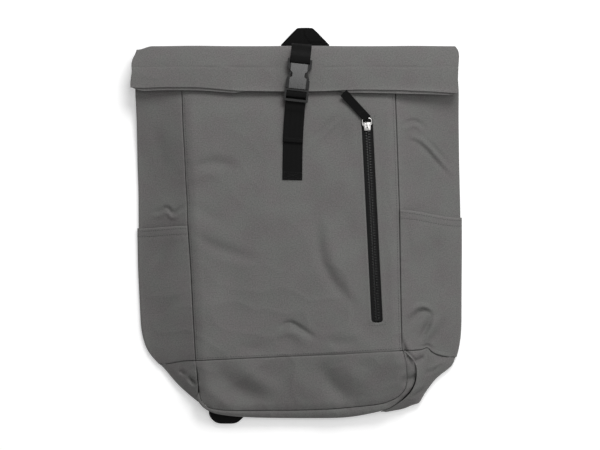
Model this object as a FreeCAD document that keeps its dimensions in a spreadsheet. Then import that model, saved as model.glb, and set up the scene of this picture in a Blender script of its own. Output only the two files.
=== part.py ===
"""A roll-top daypack lying on its back, closed, as an assembly of its separate pieces.

Millimetres. +X is to the right of the front panel, +Y towards the haul loop, +Z up from the
surface that the pack lies on. The origin is on that surface, under the middle of the pack.
"""

import FreeCAD, Part
import os
import re
import Sketcher

doc = FreeCAD.newDocument("daypack")
sheet = doc.addObject("Spreadsheet::Sheet", "Sizes")

SIZES = {
    # cloth, webbing and the air between pieces
    "cloth": 1.2,
    "air": 0.3,
    "web_wide": 25.0,
    "web_thick": 1.4,
    # the body's cross-sections, by their place along the pack
    "nose_y": 225.0,
    "roll_y": 216.0,
    "flap_y": 171.0,
    "chest_y": 146.0,
    "hip_y": -146.0,
    "band_y": -160.0,
    "foot_y": -229.0,
    "base_y": -239.0,
    # the folded edges of the gussets, in plan
    "left_roll": -204.0,
    "left_flap": -200.0,
    "left_chest": -198.5,
    "left_hip": -192.5,
    "left_band": -178.0,
    "left_foot": -119.0,
    "right_roll": 201.0,
    "right_flap": 202.5,
    "right_chest": 203.5,
    "right_hip": 205.5,
    "right_band": 201.0,
    "right_foot": 130.0,
    # the seams between the front panel and the gussets
    "seam_left_top": -143.0,
    "seam_left_band": -126.0,
    "seam_left_foot": -114.0,
    "seam_right_top": 124.0,
    "seam_right_band": 134.0,
    "seam_right_foot": 122.0,
    "seam_bevel": 12.0,
    "seam_drop": 6.0,
    # the back panel's seams
    "back_left_top": -134.0,
    "back_left_foot": -112.0,
    "back_right_top": 128.0,
    "back_right_foot": 114.0,
    "back_low": 8.6,
    # heights of the front panel and of the folded gusset edges
    "front_roll": 23.5,
    "front_flap": 33.0,
    "front_high": 42.0,
    "front_foot": 26.0,
    "fold_roll": 18.0,
    "fold_flap": 20.0,
    "fold_chest": 10.0,
    "fold_low": 4.5,
    "fold_foot": 10.6,
    "fold_half": 2.0,
    "fold_wall": 3.0,
    # the closed end of the bottom panel
    "base_left": -108.0,
    "base_right": 80.0,
    "base_low": 9.0,
    "base_high": 16.0,
    "base_round": 12.0,
    "base_edge": 1.0,
    "bottom_wall": 3.0,
    # back padding and laptop sleeve
    "foam_thick": 6.0,
    "foam_inset": 10.0,
    "foam_top": 205.0,
    "foam_bottom": -215.0,
    "lining": 0.8,
    "sleeve_half": 108.0,
    "sleeve_top": 70.0,
    "sleeve_bottom": -205.0,
    "sleeve_room": 6.2,
    # rolled mouth
    "hinge_high": 22.0,
    "hinge_gap": 0.8,
    "nose_high": 36.0,
    "nose_round": 6.0,
    "flap_mid_y": 200.0,
    "flap_mid_high": 41.0,
    "flap_edge_high": 42.5,
    "flap_end_drop": 4.0,
    "flap_left": -207.5,
    "flap_right": 203.0,
    "flap_flat": 125.0,
    "inner_short": 2.5,
    "mouth_left": -200.0,
    "mouth_right": 198.0,
    # side pockets
    "pocket_left_y": 0.0,
    "pocket_right_y": 17.0,
    "pocket_open": 12.0,
    "pocket_shut": 1.0,
    "pocket_proud": 1.6,
    # front zip, drawn from the top end of its slot
    "zip_x": 88.25,
    "zip_y": 133.1,
    "zip_turn": 2.9,
    "slot_long": 253.0,
    "slot_half": 7.0,
    "tape_half": 16.5,
    "tape_thick": 0.6,
    "teeth_half": 3.0,
    "teeth_gap": 0.8,
    "teeth_high": 2.8,
    "stop_long": 2.2,
    "slider_top": 3.5,
    "slider_long": 10.0,
    "slider_half": 4.9,
    "slider_foot": 3.6,
    "slider_plate": 1.5,
    "flange_share": 0.8,
    "post_half": 0.4,
    "post_long": 2.0,
    "bridge_half": 0.9,
    "bridge_long": 7.0,
    "bridge_bar": 1.2,
    "wire": 1.3,
    "ring_long": 10.0,
    "ring_half": 6.5,
    "pull_turn": 39.8,
    "pull_long": 37.7,
    "pull_half": 5.25,
    "pull_thick": 1.6,
    "pull_eye": 1.7,
    "pull_eye_half": 3.4,
    "pull_neck": 9.0,
    "bag_left": -78.0,
    "bag_right": 19.0,
    "bag_low": 33.4,
    "bag_end": 9.0,
    # side-release buckle, drawn from the middle of its mouth
    "buckle_x": 1.25,
    "buckle_y": 170.6,
    "buckle_low": 44.2,
    "buckle_turn": -6.2,
    "buckle_thick": 9.0,
    "buckle_wall": 1.8,
    "mouth_over": 2.1,
    "mouth_tall": 11.5,
    "mouth_side": 1.7,
    "mouth_gap": 0.5,
    "waist_in": 7.0,
    "waist_low": 15.0,
    "waist_high": 20.0,
    "shoulder_rail": 2.4,
    "shoulder_low": 26.5,
    "female_long": 37.5,
    "female_bar": 3.5,
    "female_slot": 2.4,
    "bar_inset": 2.2,
    "arm_thick": 4.2,
    "arm_wide": 2.2,
    "arm_root": 3.6,
    "arm_air": 0.5,
    "arm_tall": 24.0,
    "arm_in": 2.8,
    "arm_out": 1.8,
    "arm_curve": 1.3,
    "male_long": 15.5,
    "male_air": 0.4,
    "male_rail": 2.1,
    "male_low": 1.3,
    "male_high": 7.3,
    "male_gap": 0.3,
    "cross_bar": 2.2,
    "middle_slot": 2.2,
    "middle_bar": 4.2,
    "outer_slot": 4.0,
    "outer_lift": 1.7,
    "tail_long": 62.0,
    "lower_leg": 24.0,
    "tail_step": 5.0,
    "over_cut": 1.0,
    # front strap
    "strap_x": -4.6,
    "strap_y": 58.0,
    "strap_turn": -2.9,
    "strap_long": 90.0,
    "tack_inset": 1.5,
    "tack_long": 10.0,
    "tack_high": 0.25,
    # top strap, sewn under the roll
    "strap_root_y": 196.0,
    # haul loop
    "loop_hinge_y": 228.7,
    "loop_gap": 0.6,
    "loop_top_y": 248.75,
    "loop_left": -18.0,
    "loop_right": 40.0,
    "loop_top_left": 2.5,
    "loop_top_right": 20.0,
    "loop_low": 4.0,
    "loop_root_y": 196.0,
    "loop_hole_low": 204.0,
    "loop_hole_high": 222.0,
    "loop_hole_half": 4.0,
    "loop_leg": 16.0,
    # shoulder straps, seen through the pack from above
    "pad_top_y": 186.0,
    "pad_end_y": -110.4,
    "pad_top_half": 30.0,
    "pad_end_half": 23.0,
    "pad_thick": 8.0,
    "pad_left_top": -47.0,
    "pad_left_end": -87.0,
    "pad_right_top": 69.0,
    "pad_right_end": 93.0,
    # strap length adjusters
    "lock_y": -122.0,
    "lock_air": 0.7,
    "lock_rail": 2.0,
    "lock_low": 1.0,
    "lock_high": 6.2,
    "lock_long": 21.0,
    "lock_end_bar": 2.6,
    "lock_slot": 4.4,
    "lock_middle_bar": 4.5,
    "lock_second_slot": 5.5,
    "lock_bar_inset": 1.3,
    "lower_web": 1.2,
    "lower_tail": 62.0,
    "lower_wrap": 24.0,
    "keeper_long": 11.0,
    "web_high": 8.2,
    "web_top_y": -118.0,
    "tab_y": -215.0,
    "tab_half": 23.0,
    "tab_round": 10.0,
    "tab_left_end": -248.6,
    "tab_right_end": -236.0,
}

for row, (name, value) in enumerate(SIZES.items(), start=1):
    sheet.set(f"A{row}", name)
    sheet.set(f"B{row}", str(value))
    sheet.setAlias(f"B{row}", name)
doc.recompute()

parts = []


def cells(text):
    """An expression in which every word but sin, cos, tan and deg is a cell of the sheet."""
    return re.sub(r"\b(?!sin\b|cos\b|tan\b)[a-z]+(_[a-z]+)*", r"Sizes.\g<0>", text)


def body(name):
    """A new sub-part. Its label names its file."""
    made = doc.addObject("PartDesign::Body", name)
    made.Label = name
    parts.append(made)
    return made


def outline(owner, name, role, points, lift=None):
    """A closed sketch with one corner for each pair of expressions."""
    sketch = owner.newObject("Sketcher::SketchObject", f"{name}_of_{owner.Name}")
    plane = next(f for f in owner.Origin.OriginFeatures if f.Role == role)
    sketch.AttachmentSupport = (plane, [""])
    sketch.MapMode = "FlatFace"
    points = [(cells(across), cells(up)) for across, up in points]
    corners = [
        FreeCAD.Vector(float(sketch.evalExpression(a)), float(sketch.evalExpression(u)), 0)
        for a, u in points
    ]
    ends = corners[1:] + corners[:1]
    sketch.addGeometry([Part.LineSegment(a, b) for a, b in zip(corners, ends)])
    for i in range(len(corners)):
        after = (i + 1) % len(corners)
        sketch.addConstraint(Sketcher.Constraint("Coincident", i, 2, after, 1))
    for i, (corner, pair) in enumerate(zip(corners, points)):
        for kind, value, text in zip(("X", "Y"), (corner.x, corner.y), pair):
            rule = Sketcher.Constraint(f"Distance{kind}", -1, 1, i, 1, value)
            number = sketch.addConstraint(rule)
            sketch.renameConstraint(number, f"{kind}{i}")
            sketch.setExpression(f"Constraints.{kind}{i}", text)
    if lift:
        sketch.setExpression("AttachmentOffset.Base.z", cells(lift))
    return sketch


def pad(owner, sketch, length, both_ways=False):
    """Material added along the sketch's normal."""
    made = owner.newObject("PartDesign::Pad", f"{sketch.Name}_pad")
    made.Profile = sketch
    made.setExpression("Length", cells(length))
    made.Midplane = both_ways
    doc.recompute()
    return made


def pocket(owner, sketch, length, forward=True):
    """Material taken away, along the sketch's normal when forward is set."""
    doc.recompute()
    before = owner.Shape.Volume
    made = owner.newObject("PartDesign::Pocket", f"{sketch.Name}_pocket")
    made.Profile = sketch
    made.setExpression("Length", cells(length))
    made.Reversed = forward
    doc.recompute()
    if not owner.Shape.Volume < before:
        raise ValueError(f"{made.Name} cuts nothing")
    return made


def loft(owner, sketches, kind="Additive"):
    """A body drawn from section to section with straight sides."""
    made = owner.newObject(f"PartDesign::{kind}Loft", f"{sketches[0].Name}_loft")
    made.Profile = sketches[0]
    made.Sections = sketches[1:]
    made.Ruled = True
    doc.recompute()
    return made


def place(owner, across, along, up, turn=None):
    """Where a body drawn about its own origin goes, turned about the vertical."""
    for axis, text in zip("xyz", (across, along, up)):
        owner.setExpression(f"Placement.Base.{axis}", cells(text))
    if turn:
        owner.Placement.Rotation = FreeCAD.Rotation(FreeCAD.Vector(0, 0, 1), 0)
        owner.setExpression("Placement.Rotation.Angle", cells(turn))


def box(left, right, low, high):
    """A rectangle's corners."""
    return [(left, low), (right, low), (right, high), (left, high)]


def mirrored(points):
    """The same outline on the other side of the middle, in the same turning sense."""
    return [(f"-({across})", up) for across, up in reversed(points)]


# ---------------------------------------------------------------- the bag's cloth

STATIONS = ("roll", "flap", "chest", "hip", "band", "foot")
FRONT_HIGH = {
    "roll": "front_roll",
    "flap": "front_flap",
    "chest": "front_high",
    "hip": "front_high",
    "band": "front_high",
    "foot": "front_foot",
}
FOLD_HIGH = {
    "roll": "fold_roll",
    "flap": "fold_flap",
    "chest": "fold_chest",
    "foot": "fold_foot",
}
SEAM_DROP = {"roll": "seam_drop / 6", "flap": "seam_drop / 3"}


def seam(side, station):
    """Where the front seam of a side is at a station."""
    if station == "foot":
        return f"seam_{side}_foot"
    top, low = f"seam_{side}_top", f"seam_{side}_band"
    return f"({top} + ({low} - {top}) * (roll_y - {station}_y) / (roll_y - band_y))"


def back_seam(side, along):
    """Where the back panel's seam of a side is at a place along the pack."""
    top, low = f"back_{side}_top", f"back_{side}_foot"
    return f"({top} + ({low} - {top}) * (nose_y - ({along})) / (nose_y - foot_y))"


def seam_high(station):
    """The height of the front seams at a station."""
    return f"({FRONT_HIGH[station]} - {SEAM_DROP.get(station, 'seam_drop')})"


def fold_high(station):
    """The middle height of a gusset's folded edge at a station."""
    return FOLD_HIGH.get(station, "fold_low")


def across(owner, name, along, points):
    """A cross-section of the pack at a place along it."""
    return outline(owner, name, "XZ_Plane", points, f"-({along})")


def front_cloth(name, stations):
    """A length of the front panel: flat in the middle, falling to a seam on each side."""
    made = body(name)
    sketches = []
    for station in stations:
        left, right, top = seam("left", station), seam("right", station), FRONT_HIGH[station]
        low = seam_high(station)
        over = [
            (left, low),
            (f"{left} + seam_bevel", top),
            (f"{right} - seam_bevel", top),
            (right, low),
        ]
        under = [(a, f"{u} - cloth") for a, u in reversed(over)]
        sketches.append(across(made, station, f"{station}_y", over + under))
    loft(made, sketches)
    return made


def gusset_cloth(name, side, stations):
    """A length of a gusset, folded flat: front half, folded edge, back half."""
    made = body(name)
    inward = "+" if side == "left" else "-"
    sketches = []
    for station in stations:
        edge, top, back = f"{side}_{station}", seam(side, station), back_seam(side, f"{station}_y")
        high, fold = seam_high(station), fold_high(station)
        points = [
            (top, high),
            (edge, f"{fold} + fold_half"),
            (edge, f"{fold} - fold_half"),
            (back, "back_low"),
            (back, "back_low + cloth"),
            (f"{edge} {inward} fold_wall", f"{fold} + fold_half / 2"),
            (top, f"{high} - cloth"),
        ]
        sketches.append(across(made, station, f"{station}_y", points))
    loft(made, sketches)
    return made


def bottom_panel():
    """The closed lower end, a shallow cup."""
    made = body("bottom_panel")
    left, right = seam("left", "foot"), seam("right", "foot")
    back_left, back_right = back_seam("left", "foot_y"), back_seam("right", "foot_y")
    high = seam_high("foot")
    foot = [
        ("left_foot", "fold_foot + fold_half"),
        (left, high),
        (f"{left} + seam_bevel", "front_foot"),
        (f"{right} - seam_bevel", "front_foot"),
        (right, high),
        ("right_foot", "fold_foot + fold_half"),
        ("right_foot", "fold_foot - fold_half"),
        (back_right, "back_low"),
        (back_left, "back_low"),
        ("left_foot", "fold_foot - fold_half"),
    ]
    middle = "(base_low + base_high) / 2"
    base = [
        ("base_left", f"{middle} + base_edge"),
        ("base_left + base_round / 3", "base_high - base_edge"),
        ("base_left + base_round", "base_high"),
        ("base_right - base_round", "base_high"),
        ("base_right - base_round / 3", "base_high - base_edge"),
        ("base_right", f"{middle} + base_edge"),
        ("base_right", f"{middle} - base_edge"),
        ("base_right - base_round", "base_low"),
        ("base_left + base_round", "base_low"),
        ("base_left", f"{middle} - base_edge"),
    ]
    loft(made, [across(made, "foot", "foot_y", foot), across(made, "base", "base_y", base)])
    deep = box(
        f"{left} + bottom_wall * 3",
        f"{right} - bottom_wall * 3",
        "back_low + bottom_wall",
        f"{high} - bottom_wall",
    )
    shallow = box(
        "base_left + base_round",
        "base_right - base_round",
        f"{middle} - base_edge",
        f"{middle} + base_edge",
    )
    hollow = [
        across(made, "deep", "foot_y", deep),
        across(made, "shallow", "base_y + bottom_wall", shallow),
    ]
    loft(made, hollow, "Subtractive")
    return made


def back_sheet(name, inset, top, end, low, thick):
    """A flat layer of the back, as wide as the back panel less an inset."""
    made = body(name)
    points = [
        (f"{back_seam('left', end)} + {inset}", end),
        (f"{back_seam('right', end)} - {inset}", end),
        (f"{back_seam('right', top)} - {inset}", top),
        (f"{back_seam('left', top)} + {inset}", top),
    ]
    pad(made, outline(made, "plan", "XY_Plane", points, low), thick)
    return made


FOAM_LOW = "back_low + cloth + air"
LINING_LOW = f"{FOAM_LOW} + foam_thick + air"
SLEEVE_LOW = f"{LINING_LOW} + lining"


def laptop_sleeve():
    """A flat pocket sewn to the lining on three sides, open at the top."""
    made = body("laptop_sleeve")
    whole = box("-sleeve_half", "sleeve_half", "sleeve_bottom", "sleeve_top")
    pad(made, outline(made, "plan", "XY_Plane", whole, SLEEVE_LOW), "sleeve_room + cloth")
    room = box(
        "-sleeve_half + cloth",
        "sleeve_half - cloth",
        "sleeve_bottom + cloth",
        "sleeve_top + cloth",
    )
    pocket(made, outline(made, "room", "XY_Plane", room, SLEEVE_LOW), "sleeve_room")
    return made


front_panel = front_cloth("front_panel", STATIONS[:5])
front_cloth("front_band", STATIONS[4:])
for side in ("left", "right"):
    gusset_cloth(f"{side}_gusset", side, STATIONS[:5])
    gusset_cloth(f"{side}_gusset_band", side, STATIONS[4:])
bottom_panel()
back_sheet("back_panel", "0", "nose_y - cloth * 2.5", "foot_y", "back_low", "cloth")
back_sheet("back_foam", "foam_inset", "foam_top", "foam_bottom", FOAM_LOW, "foam_thick")
back_sheet("back_lining", "foam_inset", "foam_top", "foam_bottom", LINING_LOW, "lining")
laptop_sleeve()


# ---------------------------------------------------------------- side pockets


def side_pocket(side):
    """A cloth round the gusset's folded edge, sewn at both seams and below, open at the top."""
    made = body(f"{side}_side_pocket")
    outward = "-" if side == "left" else "+"
    mouth = f"pocket_{side}_y"
    share = f"((chest_y - {mouth}) / (chest_y - hip_y))"

    def blend(at_chest, at_hip):
        """A value at the pocket's mouth, between the chest and the hip."""
        return f"({at_chest} + ({at_hip} - {at_chest}) * {share})"

    mouth_edge = blend(f"{side}_chest", f"{side}_hip")
    mouth_fold = blend("fold_chest", "fold_low")
    top_seam = f"seam_{side}_top"
    low_seam = f"seam_{side}_band"
    run = "(roll_y - band_y)"
    mouth_seam = f"({top_seam} + ({low_seam} - {top_seam}) * (roll_y - {mouth}) / {run})"
    levels = [
        ("mouth", mouth, mouth_edge, mouth_fold, mouth_seam, "pocket_open"),
        ("hip", "hip_y", f"{side}_hip", "fold_low", seam(side, "hip"), "pocket_shut"),
    ]
    sketches = []
    for name, along, edge, fold, top, room in levels:
        far = f"{edge} {outward} pocket_proud"
        near = f"{edge} {outward} (pocket_proud - cloth)"
        back = back_seam(side, along)
        high = seam_high("chest")
        middle = f"({edge} + {top}) / 2"
        middle_high = f"({high} + {fold} + fold_half) / 2 + air + {room}"
        inside = [
            (top, f"{high} + air"),
            (middle, middle_high),
            (near, f"{fold} + fold_half + air + {room} / 4"),
            (near, f"{fold} - fold_half - air"),
            (back, "back_low - air * 2"),
        ]
        outside = [
            (back, "back_low - air * 2 - cloth"),
            (far, f"{fold} - fold_half - air - cloth"),
            (far, f"{fold} + fold_half + air + {room} / 4 + cloth"),
            (middle, f"{middle_high} + cloth"),
            (top, f"{high} + air + cloth"),
        ]
        sketches.append(across(made, name, along, inside + outside))
    loft(made, sketches)
    return made


side_pocket("left")
side_pocket("right")


# ---------------------------------------------------------------- rolled mouth

FLAP_STATIONS = {
    "left_end": ("flap_left", "flap_end_drop"),
    "left_flat": ("-flap_flat", "0"),
    "right_flat": ("flap_flat - seam_bevel", "0"),
    "right_end": ("flap_right", "flap_end_drop"),
}


def mouth_ply(name, inset, short, start):
    """One wall of the mouth, folded forward: up the nose, over it and down to its edge."""
    made = body(name)
    nose = f"nose_y - {inset}"
    edge = f"flap_y - {short}"
    sketches = []
    for label, (along, drop) in FLAP_STATIONS.items():
        top = f"nose_high - {inset} - {drop}"
        mid = f"flap_mid_high - {inset} - {drop}"
        end = f"flap_edge_high - {inset} - {drop}"
        points = [
            (nose, start),
            (nose, f"{top} - nose_round"),
            (f"{nose} - nose_round", top),
            ("flap_mid_y", mid),
            (edge, end),
            (edge, f"{end} - cloth"),
            ("flap_mid_y", f"{mid} - cloth"),
            (f"{nose} - nose_round - cloth / 2", f"{top} - cloth"),
            (f"{nose} - cloth", f"{top} - nose_round - cloth / 2"),
            (f"{nose} - cloth", start),
        ]
        sketches.append(outline(made, label, "YZ_Plane", points, along))
    loft(made, sketches)
    return made


def mouth_back_wall():
    """The back wall of the mouth up to the middle of the fold."""
    made = body("mouth_back_wall")
    top = "hinge_high - hinge_gap"
    points = [
        ("nose_y - cloth * 2.5", "back_low"),
        ("nose_y - cloth", "back_low"),
        ("nose_y", "back_low + cloth * 2"),
        ("nose_y", top),
        ("nose_y - cloth", top),
        ("nose_y - cloth", "back_low + cloth * 2.5"),
        ("nose_y - cloth * 1.5", "back_low + cloth"),
        ("nose_y - cloth * 2.5", "back_low + cloth"),
    ]
    pad(made, outline(made, "side", "YZ_Plane", points, "mouth_left"), "mouth_right - mouth_left")
    return made


mouth_back_wall()
mouth_ply("mouth_flap_outer", "0", "0", "hinge_high + air")
mouth_ply("mouth_flap_inner", "(cloth + air * 2)", "inner_short", "hinge_high + cloth")


# ---------------------------------------------------------------- front zip

TEETH_LOW = "front_high - teeth_high"
PLATE_LOW = "front_high + air"
PLATE_HIGH = f"{PLATE_LOW} + slider_plate"
RING_Y = "-slider_top - bridge_bar - wire - air"
RING_HIGH = f"{PLATE_HIGH} + wire / 2 + air"
TRAVEL_END = "-slot_long + stop_long * 2"


def zip_place(owner, up="0"):
    """Puts a piece that is drawn along the zip on the front panel."""
    place(owner, "zip_x", "zip_y", up, "zip_turn")


def zip_plan(owner, name, points, lift):
    """A plan view drawn along the zip, at a height."""
    return outline(owner, name, "XY_Plane", points, lift)


def zip_slot():
    """The zip's slot in the front panel, turned as the zip is."""
    cut = doc.addObject("PartDesign::Body", "zip_slot_cutter")
    points = box("-slot_half", "slot_half", "-slot_long", "0")
    pad(cut, zip_plan(cut, "plan", points, "bag_low"), "front_high")
    zip_place(cut)
    made = doc.addObject("Part::Cut", "front_panel_slotted")
    made.Base = front_panel
    made.Tool = cut
    made.Label = "front_panel_slotted"
    doc.recompute()
    return made


def zip_halves():
    """Two tapes under the slot's edges, each with its row of teeth."""
    for side, sign in (("left", "-"), ("right", "")):
        tape = body(f"zip_tape_{side}")
        plan = box(f"{sign}teeth_half", f"{sign}tape_half", "-slot_long - stop_long", "stop_long")
        low = "front_high - cloth - air - tape_thick"
        pad(tape, zip_plan(tape, "plan", plan, low), "tape_thick")
        zip_place(tape)
        teeth = body(f"zip_teeth_{side}")
        plan = box(f"{sign}teeth_gap", f"{sign}teeth_half", TRAVEL_END, "-stop_long - air * 2")
        pad(teeth, zip_plan(teeth, "plan", plan, TEETH_LOW), "teeth_high")
        zip_place(teeth)


def zip_stops():
    """Blocks at both ends of the teeth."""
    top = body("zip_top_stops")
    for side, sign in (("left", "-"), ("right", "")):
        plan = box(f"{sign}teeth_gap", f"{sign}teeth_half", "-stop_long", "0")
        pad(top, zip_plan(top, side, plan, TEETH_LOW), "teeth_high")
    zip_place(top)
    bottom = body("zip_bottom_stop")
    plan = box("-teeth_half", "teeth_half", "-slot_long + stop_long", f"{TRAVEL_END} - air")
    pad(bottom, zip_plan(bottom, "plan", plan, TEETH_LOW), "teeth_high")
    zip_place(bottom)


def zip_slider():
    """Top plate with flanges, a post between the rows, a back plate and a bridge."""
    made = body("zip_slider")
    top = "-slider_top"
    foot = "-slider_top - slider_long"
    plate = [("-slider_foot", foot), ("slider_foot", foot), ("slider_half", top), ("-slider_half", top)]
    pad(made, zip_plan(made, "plate", plate, PLATE_LOW), "slider_plate")
    flange_low = "front_high - cloth - air + tape_thick"
    for side, sign in (("left", "-"), ("right", "")):
        flange = box(
            f"{sign}(slider_foot)",
            f"{sign}(teeth_half + air / 2)",
            foot,
            f"{foot} + slider_long * flange_share",
        )
        name = f"flange_{side}"
        pad(made, zip_plan(made, name, flange, flange_low), f"{PLATE_LOW} - ({flange_low})")
    back_low = f"{TEETH_LOW} - slider_plate * 1.2"
    back_high = f"{TEETH_LOW} - air * 1.3"
    post = box("-post_half", "post_half", f"{top} - post_long", top)
    pad(made, zip_plan(made, "post", post, back_high), f"{PLATE_LOW} - ({back_high})")
    pad(made, zip_plan(made, "back", plate, back_low), f"{back_high} - ({back_low})")
    bridge = [
        (top, PLATE_HIGH),
        (top, f"{PLATE_HIGH} + bridge_bar * 2 + wire"),
        (f"{top} - bridge_long + bridge_bar", f"{PLATE_HIGH} + bridge_bar * 2 + wire"),
        (f"{top} - bridge_long", f"{PLATE_HIGH} + bridge_bar"),
        (f"{top} - bridge_long", PLATE_HIGH),
    ]
    pad(made, outline(made, "bridge", "YZ_Plane", bridge), "bridge_half * 2", True)
    hole = box(
        f"{top} - bridge_long + bridge_bar",
        f"{top} - bridge_bar",
        PLATE_HIGH,
        f"{PLATE_HIGH} + wire + air * 2",
    )
    cut = pocket(made, outline(made, "hole", "YZ_Plane", hole), "bridge_half * 2")
    cut.Midplane = True
    doc.recompute()
    zip_place(made)
    return made


def pull_ring():
    """A wire ring through the slider's bridge, lying forward of it."""
    made = body("pull_ring")
    low = f"{RING_HIGH} - wire / 2"
    near = f"{RING_Y} - wire / 2"
    far = f"{near} + ring_long"
    plan = [
        ("-ring_half + wire", near),
        ("ring_half - wire", near),
        ("ring_half", f"{near} + wire * 2"),
        ("ring_half", f"{far} - wire * 2"),
        ("ring_half - wire * 2", far),
        ("-ring_half + wire * 2", far),
        ("-ring_half", f"{far} - wire * 2"),
        ("-ring_half", f"{near} + wire * 2"),
    ]
    pad(made, zip_plan(made, "plan", plan, low), "wire")
    inside = [
        ("-ring_half + wire * 1.5", f"{near} + wire"),
        ("ring_half - wire * 1.5", f"{near} + wire"),
        ("ring_half - wire", f"{near} + wire * 2.2"),
        ("ring_half - wire", f"{far} - wire * 2.2"),
        ("ring_half - wire * 2.2", f"{far} - wire"),
        ("-ring_half + wire * 2.2", f"{far} - wire"),
        ("-ring_half + wire", f"{far} - wire * 2.2"),
        ("-ring_half + wire", f"{near} + wire * 2.2"),
    ]
    pocket(made, zip_plan(made, "inside", inside, low), "wire")
    zip_place(made)
    return made


def pull_tape():
    """A folded ribbon with an eye round the ring's far bar, lying to the left."""
    made = body("pull_tape")
    eye = made.newObject("PartDesign::AdditiveCylinder", "pull_tape_eye")
    eye.setExpression("Radius", cells("pull_eye"))
    eye.setExpression("Height", cells("pull_eye_half * 2"))
    plane = next(f for f in made.Origin.OriginFeatures if f.Role == "YZ_Plane")
    eye.AttachmentSupport = (plane, [""])
    eye.MapMode = "FlatFace"
    eye.setExpression("AttachmentOffset.Base.z", cells("-pull_eye_half"))
    doc.recompute()
    lean, rise = "sin(pull_turn * 1deg)", "cos(pull_turn * 1deg)"
    side_x, side_y = f"pull_half * {rise}", f"pull_half * {lean}"
    slant = f"pull_half * {lean} / {rise}"
    end_y = f"pull_long * {rise}"
    ribbon = [
        ("-pull_eye_half", "pull_eye * 0.9"),
        ("pull_eye_half", "pull_eye * 0.9"),
        (f"-pull_neck * {lean} + {side_x}", f"pull_neck * {rise} + {side_y}"),
        (f"-(pull_long - {slant}) * {lean} + {side_x}", end_y),
        (f"-(pull_long + {slant}) * {lean} - {side_x}", end_y),
        (f"-pull_neck * {lean} - {side_x}", f"pull_neck * {rise} - {side_y}"),
    ]
    pad(made, outline(made, "ribbon", "XY_Plane", ribbon, "-pull_thick / 2"), "pull_thick")
    bore = made.newObject("PartDesign::SubtractiveCylinder", "pull_tape_bore")
    bore.setExpression("Radius", cells("wire * 0.5 * 1.42 + air / 3"))
    bore.setExpression("Height", cells("pull_long * 2"))
    bore.AttachmentSupport = (plane, [""])
    bore.MapMode = "FlatFace"
    bore.setExpression("AttachmentOffset.Base.z", cells("-pull_long"))
    doc.recompute()
    far = f"({RING_Y} + ring_long - wire)"
    x = f"zip_x - {far} * sin(zip_turn * 1deg)"
    y = f"zip_y + {far} * cos(zip_turn * 1deg)"
    place(made, x, y, RING_HIGH, "zip_turn")
    return made


def zip_pocket_bag():
    """The bag behind the zip, sewn to the underside of the front panel."""
    made = body("zip_pocket_bag")
    end = "-slot_long - bag_end"
    whole = box("bag_left", "bag_right", end, "bag_end")
    tall = "front_high - cloth - air - bag_low"
    pad(made, zip_plan(made, "plan", whole, "bag_low"), tall)
    room = box("bag_left + cloth", "bag_right - cloth", f"{end} + cloth", "bag_end - cloth")
    pocket(made, zip_plan(made, "room", room, "bag_low + cloth"), tall)
    zip_place(made)
    return made


slotted = zip_slot()
zip_halves()
zip_stops()
zip_slider()
pull_ring()
pull_tape()
zip_pocket_bag()


# ---------------------------------------------------------------- buckle and its straps


MOUTH_HALF = "(web_wide / 2 + mouth_over)"
ARM_SIDE = f"({MOUTH_HALF} - mouth_side - arm_air)"


def buckle_place(owner):
    """Puts a piece that is drawn about the buckle's mouth on the front of the pack."""
    place(owner, "buckle_x", "buckle_y", "buckle_low", "buckle_turn")


def buckle_female():
    """Mouth ring, waisted plates, shoulders and the bar for the top strap."""
    made = body("buckle_female")
    waist = f"{MOUTH_HALF} - waist_in"
    shoulder = "web_wide / 2 + air + shoulder_rail"
    right = [
        (MOUTH_HALF, "mouth_gap"),
        (MOUTH_HALF, "mouth_tall"),
        (waist, "waist_low"),
        (waist, "waist_high"),
        (shoulder, "shoulder_low"),
        (shoulder, "female_long"),
    ]
    pad(made, outline(made, "plan", "XY_Plane", right + mirrored(right)), "buckle_thick")
    inner = f"{MOUTH_HALF} - mouth_side"
    cavity = box(f"-({inner})", inner, "buckle_wall", "buckle_thick - buckle_wall")
    sketch = outline(made, "cavity", "XZ_Plane", cavity)
    pocket(made, sketch, "arm_tall + over_cut", forward=False)
    bar_low = "female_long - female_bar"
    slot = box("-web_wide / 2 - air", "web_wide / 2 + air", f"{bar_low} - female_slot", bar_low)
    pocket(made, outline(made, "slot", "XY_Plane", slot), "buckle_thick")
    bar = box("-web_wide / 2 - air", "web_wide / 2 + air", bar_low, "female_long + over_cut")
    pocket(made, outline(made, "bar_under", "XY_Plane", bar), "bar_inset")
    above = outline(made, "bar_over", "XY_Plane", bar, "buckle_thick - bar_inset")
    pocket(made, above, "bar_inset")
    buckle_place(made)
    return made


def buckle_male():
    """A frame with two webbing bars, between two rails."""
    made = body("buckle_male")
    inner = "web_wide / 2 + male_air"
    half = f"{inner} + male_rail"
    whole = box(f"-({half})", half, "-male_long", "-male_gap")
    pad(made, outline(made, "plan", "XY_Plane", whole, "male_low"), "male_high - male_low")
    first = "-cross_bar"
    second = f"{first} - middle_slot - middle_bar"
    slots = (
        box(f"-({inner})", inner, f"{first} - middle_slot", first),
        box(f"-({inner})", inner, f"{second} - outer_slot", second),
    )
    for name, points in zip(("slot_middle", "slot_outer"), slots):
        cut = outline(made, name, "XY_Plane", points, "male_low")
        pocket(made, cut, "male_high - male_low")
    under = box(f"-({inner})", inner, "-male_long - over_cut", f"{second} - outer_slot")
    pocket(made, outline(made, "bar_under", "XY_Plane", under, "male_low"), "outer_lift")
    buckle_place(made)
    return made


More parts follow.
